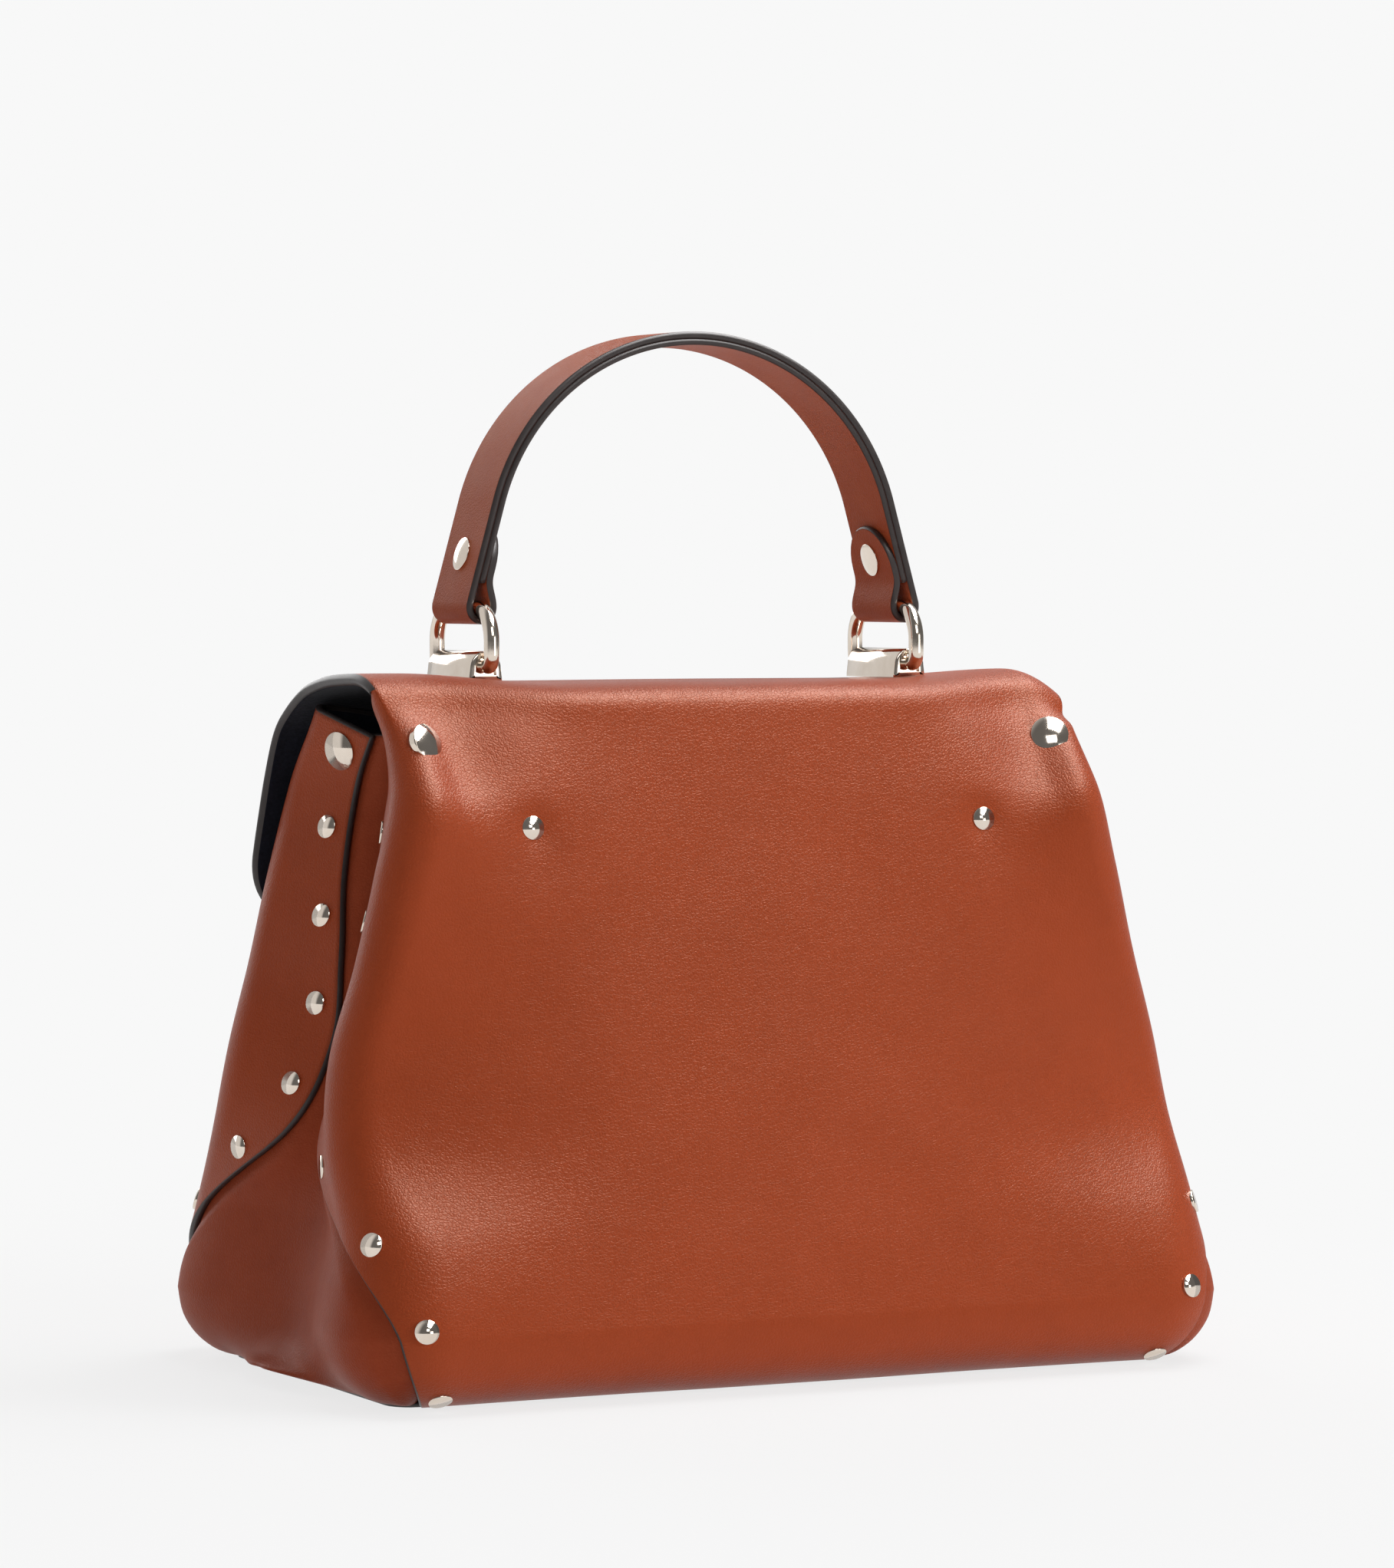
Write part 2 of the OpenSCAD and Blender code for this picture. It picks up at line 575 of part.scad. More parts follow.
// Backing plate and screws under a mount, inside the flap
plate_t = 1.2;
plate_l = 2 * screw_y + 5;
plate_z = body_h - flap_t - ply_gap - plate_t;
module mount_plate_right() {
    color(metal_c) difference() {
        translate([handle_span / 2 - block_w, handle_y - plate_l / 2, plate_z])
            cube([2 * block_w, plate_l, plate_t]);
        screw_holes(screw_d + 0.4);
    }
}
module mount_plate_left() { mirror([1, 0, 0]) mount_plate_right(); }
module mount_screws_right() {
    color(metal_c) for (y = [-screw_y, screw_y])
        translate([handle_span / 2, handle_y + y, plate_z - 0.05]) {
            cylinder(d = screw_d, h = body_h - plate_z + 4);
            translate([0, 0, -1.2]) cylinder(d = 2 * screw_d, h = 1.2);
        }
}
module mount_screws_left() { mirror([1, 0, 0]) mount_screws_right(); }

// Ring: an arch of wire whose ends turn inwards into the mount block
bend_r = wire_d / 2 + 0.4;
module quarter_bend(r) {
    rotate([90, 0, 90]) rotate_extrude(angle = 90) translate([r, 0]) circle(d = wire_d, $fn = 32);
}
module half_ring() {
    leg_y = ring_w / 2;
    bar_y = leg_y - shoulder_r;
    pin_l = leg_y - bend_r - block_l / 2 + bore_depth - 1;
    translate([0, 0, ring_h]) rotate([-90, 0, 0]) cylinder(d = wire_d, h = bar_y, $fn = 32);
    translate([0, bar_y, ring_h - shoulder_r]) quarter_bend(shoulder_r);
    translate([0, leg_y, bend_r])
        cylinder(d = wire_d, h = ring_h - shoulder_r - bend_r, $fn = 32);
    translate([0, leg_y - bend_r, bend_r]) rotate([-90, 0, 0]) quarter_bend(bend_r);
    translate([0, leg_y - bend_r, 0]) rotate([90, 0, 0])
        cylinder(d = pivot_d, h = pin_l, $fn = 32);
}
module ring_right() {
    color(metal_c) translate([handle_span / 2, handle_y, pivot_z]) {
        half_ring();
        mirror([0, 1, 0]) half_ring();
    }
}
module ring_left() { mirror([1, 0, 0]) ring_right(); }

// Handle: an arch of two leathers whose outer one loops round each ring bar.
// Its straight ends lean so that they run tangent from the arch to the loops.
loop_r = wire_d / 2 + loop_gap;
loop_out = loop_r + strap_t;
arch_c = [0, body_h + handle_rise - arch_r];
bar_c = [handle_span / 2, pivot_z + ring_h];
bar_from_arch = bar_c - arch_c;
strap_lean = acos((arch_r - loop_out) / norm(bar_from_arch))
    + atan2(bar_from_arch[1], bar_from_arch[0]);
straight_l = sqrt(pow(norm(bar_from_arch), 2) - pow(arch_r - loop_out, 2));
facing_low = loop_out + 2.5;
glue_gap = 0.05;
facing_seat = loop_r - glue_gap;
tab_seat = facing_seat - facing_t - glue_gap;
tab_meets = rivet_up - 4;
tab_top = rivet_up + tab_over;
arch_steps = 60;
loop_steps = 16;

// Point given from the right ring's bar: x outwards from the strap, y up along it
function end_at(p) = bar_c + [p[0] * cos(strap_lean) - p[1] * sin(strap_lean),
                              p[0] * sin(strap_lean) + p[1] * cos(strap_lean)];
function flipped(v) = [for (p = reversed(v)) [-p[0], p[1]]];
function over_arch(x) =
    arc(arch_c, arch_r - loop_out + x, strap_lean, 180 - strap_lean, arch_steps);
function strap_edge(loop, tab) =
    let (end = [for (p = concat([[tab, tab_top], [tab, tab_meets]],
                                arc([0, 0], loop, 180, 360, loop_steps))) end_at(p)])
    concat(end, over_arch(loop), flipped(end));
function facing_edge(x) =
    let (low = [end_at([x, facing_low])]) concat(low, over_arch(x), flipped(low));

module across_strap(outer, inner) {
    translate([0, handle_y, 0]) rotate([90, 0, 0]) linear_extrude(strap_w, center = true)
        polygon(concat(outer, reversed(inner)));
}
// Cuts the corners off a return tab, so that its top is round
module tab_corners() {
    translate([bar_c[0], handle_y, bar_c[1]]) rotate([0, -strap_lean, 0])
        translate([tab_seat - strap_t - 1, 0, tab_top - strap_w / 2]) difference() {
            translate([0, -strap_w, 0]) cube([strap_t + 1.5, 2 * strap_w, strap_w]);
            translate([-1, 0, 0]) rotate([0, 90, 0]) cylinder(d = strap_w - 0.2, h = strap_t + 4);
        }
}
module handle_strap() {
    color(leather_c) difference() {
        across_strap(strap_edge(loop_out, tab_seat - strap_t), strap_edge(loop_r, tab_seat));
        tab_corners();
        mirror([1, 0, 0]) tab_corners();
    }
}
module handle_facing() {
    color(leather_c)
        across_strap(facing_edge(facing_seat), facing_edge(facing_seat - facing_t));
}
module handle_rivet_right() {
    stack = strap_t + facing_t + strap_t + 4 * glue_gap;
    color(metal_c) translate([bar_c[0], handle_y, bar_c[1]]) rotate([0, -strap_lean, 0])
        translate([loop_out + 0.05, 0, rivet_up]) rotate([0, 90, 0]) {
            low_cap();
            translate([0, 0, -stack]) cylinder(d = shank_d, h = stack);
            translate([0, 0, -stack]) mirror([0, 0, 1]) low_cap();
        }
}
module low_cap() {
    cylinder(d = handle_cap_d, h = 0.5);
    translate([0, 0, 0.5]) cylinder(d1 = handle_cap_d, d2 = handle_cap_d - 1.4, h = 0.6);
}
module handle_rivet_left() { mirror([1, 0, 0]) handle_rivet_right(); }

base_panel();
back_panel();
front_panel();
gusset_left();
gusset_right();
base_stiffener();
base_lining();
back_lining();
front_lining();
gusset_lining_left();
gusset_lining_right();
inner_pocket();
pocket_rivets();
studs_back_left();
studs_back_right();
studs_front_left();
studs_front_right();
corner_caps_back();
corner_caps_front();
snap_lower();
flap_leather();
flap_board();
flap_lining();
snap_upper();
handle_mount_left();
handle_mount_right();
mount_plate_left();
mount_plate_right();
mount_screws_left();
mount_screws_right();
ring_left();
ring_right();
handle_strap();
handle_facing();
handle_rivet_left();
handle_rivet_right();
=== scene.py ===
import json
import math

import bmesh
import bpy
import numpy as np
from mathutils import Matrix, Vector
from mathutils.bvhtree import BVHTree

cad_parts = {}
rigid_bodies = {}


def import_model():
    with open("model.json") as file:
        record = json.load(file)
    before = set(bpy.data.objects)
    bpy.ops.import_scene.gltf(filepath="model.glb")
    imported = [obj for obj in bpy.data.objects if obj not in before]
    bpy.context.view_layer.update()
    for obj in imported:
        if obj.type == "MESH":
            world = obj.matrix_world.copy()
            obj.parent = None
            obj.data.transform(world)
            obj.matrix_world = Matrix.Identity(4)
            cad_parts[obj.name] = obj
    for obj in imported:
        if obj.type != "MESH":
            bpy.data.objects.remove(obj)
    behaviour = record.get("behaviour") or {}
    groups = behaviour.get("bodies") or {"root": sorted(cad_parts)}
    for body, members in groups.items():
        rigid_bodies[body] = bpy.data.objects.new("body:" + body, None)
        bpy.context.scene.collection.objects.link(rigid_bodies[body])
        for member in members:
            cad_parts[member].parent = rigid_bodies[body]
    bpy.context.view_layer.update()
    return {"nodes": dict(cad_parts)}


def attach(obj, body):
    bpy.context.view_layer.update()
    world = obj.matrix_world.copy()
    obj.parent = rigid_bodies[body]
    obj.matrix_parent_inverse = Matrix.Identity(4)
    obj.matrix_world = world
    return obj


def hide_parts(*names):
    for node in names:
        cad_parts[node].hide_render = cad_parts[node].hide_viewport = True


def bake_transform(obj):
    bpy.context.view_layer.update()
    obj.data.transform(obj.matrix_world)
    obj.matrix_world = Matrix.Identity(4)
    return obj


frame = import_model()

# ---------------------------------------------------------------- studio
# A pale seamless floor under soft studio light. The camera stands behind the
# bag's right corner, at the photograph's viewing angle, with a long lens.
def linear(hex_colour):
    values = [int(hex_colour[i:i + 2], 16) / 255 for i in (1, 3, 5)]
    return [v / 12.92 if v <= 0.04045 else ((v + 0.055) / 1.055) ** 2.4 for v in values] + [1]


def node(tree, kind, inputs=(), **settings):
    """Add one node, with its settings and with values or links for its inputs."""
    new = tree.nodes.new(kind)
    for name, value in settings.items():
        setattr(new, name, value)
    for key, value in dict(inputs).items():
        if isinstance(value, bpy.types.NodeSocket):
            tree.links.new(value, new.inputs[key])
        else:
            new.inputs[key].default_value = value
    return new


def new_material(name):
    made = bpy.data.materials.new(name)
    made.use_nodes = True
    made.node_tree.nodes.clear()
    return made, made.node_tree


# Paper sweep: matte, white where the camera sees it, darker only in the shadow
sweep_paper, tree = new_material("white_paper_sweep")
paper = node(tree, "ShaderNodeBsdfPrincipled",
             {"Base Color": linear("#F7F7F7"), "Roughness": 0.9, "Specular IOR Level": 0.2})
bright = node(tree, "ShaderNodeEmission", {"Color": linear("#F8F8F8"), "Strength": 1.0})
path = node(tree, "ShaderNodeLightPath")
seen = node(tree, "ShaderNodeMath", {0: path.outputs["Is Camera Ray"],
                                     1: path.outputs["Is Glossy Ray"]}, operation="MAXIMUM")
ground = node(tree, "ShaderNodeTexCoord").outputs["Object"]
far = node(tree, "ShaderNodeVectorMath", {0: ground}, operation="LENGTH")
fade = node(tree, "ShaderNodeMapRange", {"Value": far.outputs["Value"], 1: 0.1, 2: 0.6,
                                         3: 0.82, 4: 1.0}, interpolation_type="SMOOTHSTEP")
share = node(tree, "ShaderNodeMath", {0: seen.outputs[0], 1: fade.outputs[0]},
             operation="MULTIPLY")
both = node(tree, "ShaderNodeMixShader",
            {0: share.outputs[0], 1: paper.outputs[0], 2: bright.outputs[0]})
node(tree, "ShaderNodeOutputMaterial", {"Surface": both.outputs[0]})

floor_mesh = bpy.data.meshes.new("floor")
HALF_FLOOR, FLOOR_Z = 12, -0.0004
floor_corners = [(x * HALF_FLOOR, y * HALF_FLOOR, FLOOR_Z)
                 for x, y in ((-1, -1), (1, -1), (1, 1), (-1, 1))]
floor_mesh.from_pydata(floor_corners, [], [(0, 1, 2, 3)])
floor_mesh.materials.append(sweep_paper)
floor = bpy.data.objects.new("floor", floor_mesh)
bpy.context.collection.objects.link(floor)

world = bpy.data.worlds.new("studio_air")
bpy.context.scene.world = world
world.use_nodes = True
tree = world.node_tree
tree.nodes.clear()
# metal and leather mirror a white wall in front of the bag and a dim room behind
# it; the camera itself sees plain white
way = node(tree, "ShaderNodeTexCoord").outputs["Generated"]
side_on = node(tree, "ShaderNodeVectorMath", {0: way, 1: (0.35, -0.93, 0.1)},
               operation="DOT_PRODUCT")
wall = node(tree, "ShaderNodeMapRange", {"Value": side_on.outputs["Value"], 1: 0.05, 2: 0.55,
                                         3: 0.16, 4: 0.8}, interpolation_type="SMOOTHSTEP")
soft = node(tree, "ShaderNodeBackground", {"Color": linear("#F6F6F6"), "Strength": 0.2})
mirrored = node(tree, "ShaderNodeBackground", {"Color": linear("#F8F8F8"),
                                               "Strength": wall.outputs[0]})
white = node(tree, "ShaderNodeBackground", {"Color": linear("#F8F8F8"), "Strength": 1.0})
path = node(tree, "ShaderNodeLightPath")
glossy = node(tree, "ShaderNodeMixShader", {0: path.outputs["Is Glossy Ray"],
                                            1: soft.outputs[0], 2: mirrored.outputs[0]})
both = node(tree, "ShaderNodeMixShader", {0: path.outputs["Is Camera Ray"],
                                          1: glossy.outputs[0], 2: white.outputs[0]})
node(tree, "ShaderNodeOutputWorld", {"Surface": both.outputs[0]})


def lamp(name, place, aim, size, power, mirrored=True):
    """A rectangular softbox; mirrored says whether gloss shows its reflection."""
    light = bpy.data.lights.new(name, "AREA")
    light.shape = "RECTANGLE"
    light.size, light.size_y = size
    light.energy = power
    holder = bpy.data.objects.new(name, light)
    holder.visible_glossy = mirrored
    holder.location = place
    holder.rotation_euler = (Vector(aim) - Vector(place)).to_track_quat("-Z", "Y").to_euler()
    bpy.context.collection.objects.link(holder)
    return holder


# left and right are as the camera sees them; the gloss panel adds reflections
# alone, for the highlight along the top roll
lamp("overhead_softbox", (-0.45, 0.0, 1.3), (0, 0.02, 0.16), (0.8, 1.1), 12, mirrored=False)
lamp("key_softbox", (-1.35, 1.35, 0.6), (0, 0, 0.12), (0.8, 0.9), 16, mirrored=False)
lamp("left_fill", (1.3, 1.5, 0.5), (0, 0, 0.12), (0.5, 0.9), 4, mirrored=False)
lamp("front_fill", (0.1, -1.7, 0.8), (0, 0, 0.12), (1.2, 0.9), 9)
gloss_panel = lamp("overhead_gloss_panel", (-0.5, 0.22, 1.3), (0, 0.02, 0.18), (1.4, 0.65), 44)
gloss_panel.visible_diffuse = False
cards = [lamp("low_metal_card", (-0.95, 1.9, 0.25), (0, 0, 0.19), (0.9, 0.9), 6),
         lamp("high_metal_card", (0.1, 1.7, 1.15), (0, 0, 0.19), (0.9, 0.7), 8)]

AZIMUTH, ELEVATION = math.radians(154.245), math.radians(2.084)
DISTANCE, AIM = 1.688, Vector((-0.00054, 0.00026, 0.1646))
SENSOR_H, FOCAL_PX, PHOTO_H_PX = 36, 7678, 2044
camera_data = bpy.data.cameras.new("camera")
camera_data.sensor_fit = "VERTICAL"
camera_data.sensor_height = SENSOR_H
camera_data.lens = SENSOR_H * FOCAL_PX / PHOTO_H_PX
camera = bpy.data.objects.new("camera", camera_data)
camera.location = AIM + DISTANCE * Vector((math.cos(ELEVATION) * math.sin(AZIMUTH),
                                           -math.cos(ELEVATION) * math.cos(AZIMUTH),
                                           math.sin(ELEVATION)))
camera.rotation_euler = (AIM - camera.location).to_track_quat("-Z", "Y").to_euler()
bpy.context.collection.objects.link(camera)
bpy.context.scene.camera = camera
bpy.context.scene.view_settings.view_transform = "Standard"

# ---------------------------------------------------------------- main hide
# One piece of smooth calf makes the back, the wrap-round back corners, the top
# and the front flap. Its cut edges are painted dark, and its inside is suede.
BODY_H, BASE_W, TOP_W, BASE_D, MOUTH_D, PINCH_D, BASE_R = 194.5, 264, 213, 162, 66, 54, 20
WALL_T, LAP_T, FLAP_T, UNEVEN = 2.75, 2.3, 3.2, 0.22
# eight shaping stations from the base to the mouth: width and depth as shares of
# the way from top to base, corner radius, fold angle of the strip, girth from the
# corner to the cut edge, and how far the gusset's valley lies inside
WIDTH = [1.12, 0.96, 0.94, 0.82, 0.56, 0.33, 0.1, 0]
DEPTH = [1.01, 0.86, 0.54, 0.43, 0.42, 0.42, 0.35, 0.04]
CORNER = [24.5, 20, 14.5, 12.7, 11.4, 11, 9, 7]
FOLD = [-5, 3, 18, 30, 24, 25, 23, 21]
EDGE = [-5, 15, 41, 46, 43.5, 37, 33.5, 31]
VALLEY = [12.7, 13.5, 20, 33, 37, 38, 37, 36]
MOUTH_Z = BODY_H - 4.5


def curve_through(a, b, c, d, f):
    """The smooth curve from b to c, led by their neighbours a and d."""
    return b + f * ((c - a) / 2 + f * ((a - 2.5 * b + 2 * c - d / 2)
                                       + f * (1.5 * (b - c) + (d - a) / 2)))


def along_list(values, t):
    v, n = np.asarray(values, float), len(values) - 1
    i = np.clip(np.floor(t).astype(int), 0, n - 1)
    f = t - i
    return curve_through(v[np.maximum(i - 1, 0)], v[i], v[i + 1], v[np.minimum(i + 2, n)], f)


def ease(f):
    c = np.clip(f, 0, 1)
    return c * c * (3 - 2 * c)


def mix(a, b, f):
    return a + (b - a) * f


def station(z):
    return 7 * (z - BASE_R) / (MOUTH_Z - BASE_R)


def section(t):
    """One plan section of a quarter of the bag, at a shaping station."""
    wide = mix(TOP_W, BASE_W, along_list(WIDTH, t)) / 2
    deep = mix(PINCH_D, BASE_D, along_list(DEPTH, t)) / 2
    r, fold = along_list(CORNER, t), np.radians(along_list(FOLD, t))
    cx, cy, mid = wide - r, deep - r, mix(BASE_D - 1, MOUTH_D, t / 7) / 2
    start = np.pi / 2 - np.arctan(3 * (mid - deep) / cx)
    q = dict(mid=mid, cx=cx, cy=cy, r=r, start=start, fold=fold)
    q["xe"], q["ye"] = cx + r * np.cos(start), cy + r * np.sin(start)
    q["s1"] = q["xe"]
    q["s2"] = q["s1"] + r * (start + fold)
    strip = np.maximum(0, along_list(EDGE, t) - r * (np.pi / 4 + fold))
    q["rx"], q["ry"] = -np.sin(fold), -np.cos(fold)
    q["px"] = cx + r * np.cos(fold) + q["rx"] * strip
    q["py"] = cy - r * np.sin(fold) + q["ry"] * strip
    q["s3"] = q["s2"] + strip
    q["vx"] = wide - along_list(VALLEY, t)
    q["chord"] = np.hypot(q["px"] - q["vx"], q["py"])
    q["edge"] = q["s1"] + r * (start - np.pi / 4) + along_list(EDGE, t)
    q["ridge"] = q["s1"] + r * (start + fold) * 0.45
    q["valley"] = q["s3"] + 1.1 * q["chord"]
    return q


def on_section(q, s):
    """Place and outward normal in plan, at a distance s from the face's middle."""
    f = s / q["s1"]
    slope = 3 * (q["mid"] - q["ye"]) * f * f / q["xe"]
    face = (q["xe"] * f, q["mid"] - (q["mid"] - q["ye"]) * f ** 3,
            slope / np.hypot(slope, 1), 1 / np.hypot(slope, 1))
    a = q["start"] - (s - q["s1"]) / q["r"]
    arc = (q["cx"] + q["r"] * np.cos(a), q["cy"] + q["r"] * np.sin(a), np.cos(a), np.sin(a))
    strip = (q["px"] - q["rx"] * (q["s3"] - s), q["py"] - q["ry"] * (q["s3"] - s),
             -q["ry"] + 0 * s, q["rx"] + 0 * s)
    f, k = np.clip((s - q["s3"]) / (1.1 * q["chord"]), 0, 1), q["chord"]
    m0x, m0y, m1y = q["rx"] * k, q["ry"] * k, -0.8 * k
    h0, h1 = 1 + f * f * (2 * f - 3), f * (1 - f) ** 2
    h2, h3 = f * f * (3 - 2 * f), f * f * (f - 1)
    d0, d1, d3 = 6 * f * (1 - f), (1 - f) * (1 - 3 * f), f * (3 * f - 2)
    dx = (q["vx"] - q["px"]) * d0 + m0x * d1
    dy = -q["py"] * d0 + m0y * d1 + m1y * d3
    size = np.maximum(np.hypot(dx, dy), 1e-9)
    fold = (q["px"] * h0 + m0x * h1 + q["vx"] * h2, q["py"] * h0 + m0y * h1 + m1y * h3,
            -dy / size, dx / size)
    pick = [s < q["s1"], s < q["s2"], s < q["s3"]]
    return [np.select(pick, [face[i], arc[i], strip[i]], fold[i]) for i in range(4)]


def body_points(s, z, roll):
    """Outer surface; roll runs from 0 on the wall to 1 flat under the base."""
    q = section(station(np.maximum(z, BASE_R)))
    x, y, nx, ny = on_section(q, s)
    out = BASE_R * (np.cos(roll * np.pi / 2) - 1)
    return np.stack([x + nx * out, y + ny * out,
                     np.where(roll > 0, BASE_R * (1 - np.sin(roll * np.pi / 2)), z)], -1)


def outward(p, row, col):
    """Normals of a grid of points, turned so that the one named faces the back."""
    n = np.cross(np.gradient(p, axis=1), np.gradient(p, axis=0))
    n = n / np.maximum(np.linalg.norm(n, axis=-1, keepdims=True), 1e-12)
    return n * np.sign(n[row, col, 1])


def gauss(p, x, z, r):
    """1 at a place on the back, running out over about the radius r."""
    return np.exp(-((p[..., 0] - x) ** 2 + (p[..., 2] - z) ** 2) / (r * r))


def quads(rows, cols, keep=None):
    """Faces of a grid of points, or those of its cells that keep marks."""
    i, j = np.meshgrid(np.arange(rows - 1), np.arange(cols - 1), indexing="ij")
    a = i * cols + j
    f = np.stack([a, a + 1, a + cols + 1, a + cols], -1)
    return f[keep] if keep is not None else f.reshape(-1, 4)


def link_mesh(name, points, faces, materials, indices=None):
    """A smooth-shaded object from points in millimetres."""
    mesh = bpy.data.meshes.new(name)
    mesh.from_pydata((np.asarray(points) / 1000).tolist(), [], [list(map(int, f)) for f in faces])
    for m in materials:
        mesh.materials.append(m)
    if indices is not None:
        mesh.polygons.foreach_set("material_index", np.asarray(indices, np.int32))
    mesh.polygons.foreach_set("use_smooth", np.full(len(mesh.polygons), True))
    mesh.update()
    made = bpy.data.objects.new(name, mesh)
    bpy.context.collection.objects.link(made)
    return made


RIM_STEPS = 6


def shell(name, outer, inner, faces, materials, bulge=0.35):
    """Leather with an outer and an inner face, and a rounded painted edge all round."""
    outer, inner = outer.reshape(-1, 3), inner.reshape(-1, 3)
    used = np.unique(faces)
    number = np.full(len(outer), -1)
    number[used] = np.arange(len(used))
    faces, outer, inner = number[faces], outer[used], inner[used]
    n = len(outer)
    sides = np.concatenate([faces[:, [i, (i + 1) % 4]] for i in range(4)])
    owner = np.tile(np.arange(len(faces)), 4)
    key = np.sort(sides, 1)
    key = key[:, 0] * n + key[:, 1]
    order, counts = np.unique(key, return_counts=True)
    single = np.isin(key, order[counts == 1])
    rim, rim_face = sides[single], owner[single]
    centre = outer[faces].mean(1)
    away = np.zeros((n, 3))
    for k in (0, 1):
        np.add.at(away, rim[:, k], outer[rim].mean(1) - centre[rim_face])
    ids = np.unique(rim)
    through = inner[ids] - outer[ids]
    thick = np.linalg.norm(through, axis=1, keepdims=True)
    push = away[ids] - through * ((away[ids] * through).sum(1, keepdims=True) / thick ** 2)
    push /= np.maximum(np.linalg.norm(push, axis=1, keepdims=True), 1e-9)
    rings = [outer[ids] + through * (k / RIM_STEPS)
             + push * thick * bulge * math.sin(math.pi * k / RIM_STEPS)
             for k in range(1, RIM_STEPS)]
    at = np.full(n, -1)
    at[ids] = np.arange(len(ids))
    points = np.concatenate([outer, inner] + rings)

    def level(k, v):
        if k in (0, RIM_STEPS):
            return v if k == 0 else v + n
        return 2 * n + (k - 1) * len(ids) + at[v]

    strips = [np.stack([level(k, rim[:, 1]), level(k, rim[:, 0]),
                        level(k + 1, rim[:, 0]), level(k + 1, rim[:, 1])], 1)
              for k in range(RIM_STEPS)]
    every = np.concatenate([faces, faces[:, ::-1] + n] + strips)
    slots = np.concatenate([np.zeros(len(faces)), np.ones(len(faces)),
                            np.full(len(rim) * RIM_STEPS, 2)])
    made = link_mesh(name, points, every, materials, slots)
    burnish = made.data.attributes.new("burnish", "FLOAT", "POINT")
    value = np.zeros(len(points))
    value[ids] = 1
    value[ids + n] = 1
    value[2 * n:] = 1
    burnish.data.foreach_set("value", value.astype(np.float32))
    return made


def calf(name, dark, plain, light, rough, shine):
    """Smooth satin calf: drum-dyed, with a fine closed grain and soft wandering tone."""
    made, tree = new_material(name)
    place = node(tree, "ShaderNodeTexCoord").outputs["Object"]
    cloud = node(tree, "ShaderNodeTexNoise",
                 {"Vector": place, "Scale": 22, "Detail": 6, "Roughness": 0.75})
    tone = node(tree, "ShaderNodeValToRGB", {0: cloud.outputs["Fac"]})
    tone.color_ramp.elements[0].position, tone.color_ramp.elements[1].position = 0.3, 0.7
    tone.color_ramp.elements[0].color = linear(dark)
    tone.color_ramp.elements[1].color = linear(light)
    tone.color_ramp.elements.new(0.5).color = linear(plain)
    # grain cells of about 1 mm, drawn a little coarser than real so that they show
    warp = node(tree, "ShaderNodeTexNoise", {"Vector": place, "Scale": 300, "Detail": 2})
    bent = node(tree, "ShaderNodeMix", {0: 0.0012, 4: place, 5: warp.outputs["Color"]},
                data_type="VECTOR")
    cells = node(tree, "ShaderNodeTexVoronoi", {"Vector": bent.outputs[1], "Scale": 1000},
                 feature="DISTANCE_TO_EDGE")
    pores = node(tree, "ShaderNodeTexNoise", {"Vector": place, "Scale": 2600, "Detail": 3})
    grain = node(tree, "ShaderNodeMapRange",
                 {"Value": cells.outputs["Distance"], 1: 0.0, 2: 0.22})
    valley = node(tree, "ShaderNodeMix", {0: grain.outputs[0], 6: linear(dark),
                                          7: tone.outputs[0]}, data_type="RGBA")
    calm = node(tree, "ShaderNodeMix", {0: 0.3, 6: tone.outputs[0], 7: valley.outputs[2]},
                data_type="RGBA")
    edge = node(tree, "ShaderNodeAttribute", attribute_name="burnish")
    stain = node(tree, "ShaderNodeMath", {0: edge.outputs["Fac"], 1: 0.45}, operation="MULTIPLY")
    colour = node(tree, "ShaderNodeMix", {0: stain.outputs[0], 6: calm.outputs[2],
                                          7: linear("#4A2A22")}, data_type="RGBA")
    wander = node(tree, "ShaderNodeTexNoise", {"Vector": place, "Scale": 60, "Detail": 3})
    gloss = node(tree, "ShaderNodeMapRange",
                 {"Value": wander.outputs["Fac"], 3: rough - 0.06, 4: rough + 0.08})
    height = node(tree, "ShaderNodeMath", {0: grain.outputs[0], 1: pores.outputs["Fac"]},
                  operation="ADD")
    fine = node(tree, "ShaderNodeBump", {"Strength": 0.4, "Distance": 0.00015,
                                         "Height": height.outputs[0]})
    soft_waves = node(tree, "ShaderNodeTexNoise", {"Vector": place, "Scale": 38, "Detail": 2})
    broad = node(tree, "ShaderNodeBump", {"Strength": 0.2, "Distance": 0.0008,
                                          "Height": soft_waves.outputs["Fac"],
                                          "Normal": fine.outputs[0]})
    skin = node(tree, "ShaderNodeBsdfPrincipled",
                {"Base Color": colour.outputs[2], "Roughness": gloss.outputs[0],
                 "Normal": broad.outputs[0], "IOR": 1.46, "Specular IOR Level": shine,
                 "Specular Tint": linear("#FFD2B4")})
    node(tree, "ShaderNodeOutputMaterial", {"Surface": skin.outputs[0]})
    return made


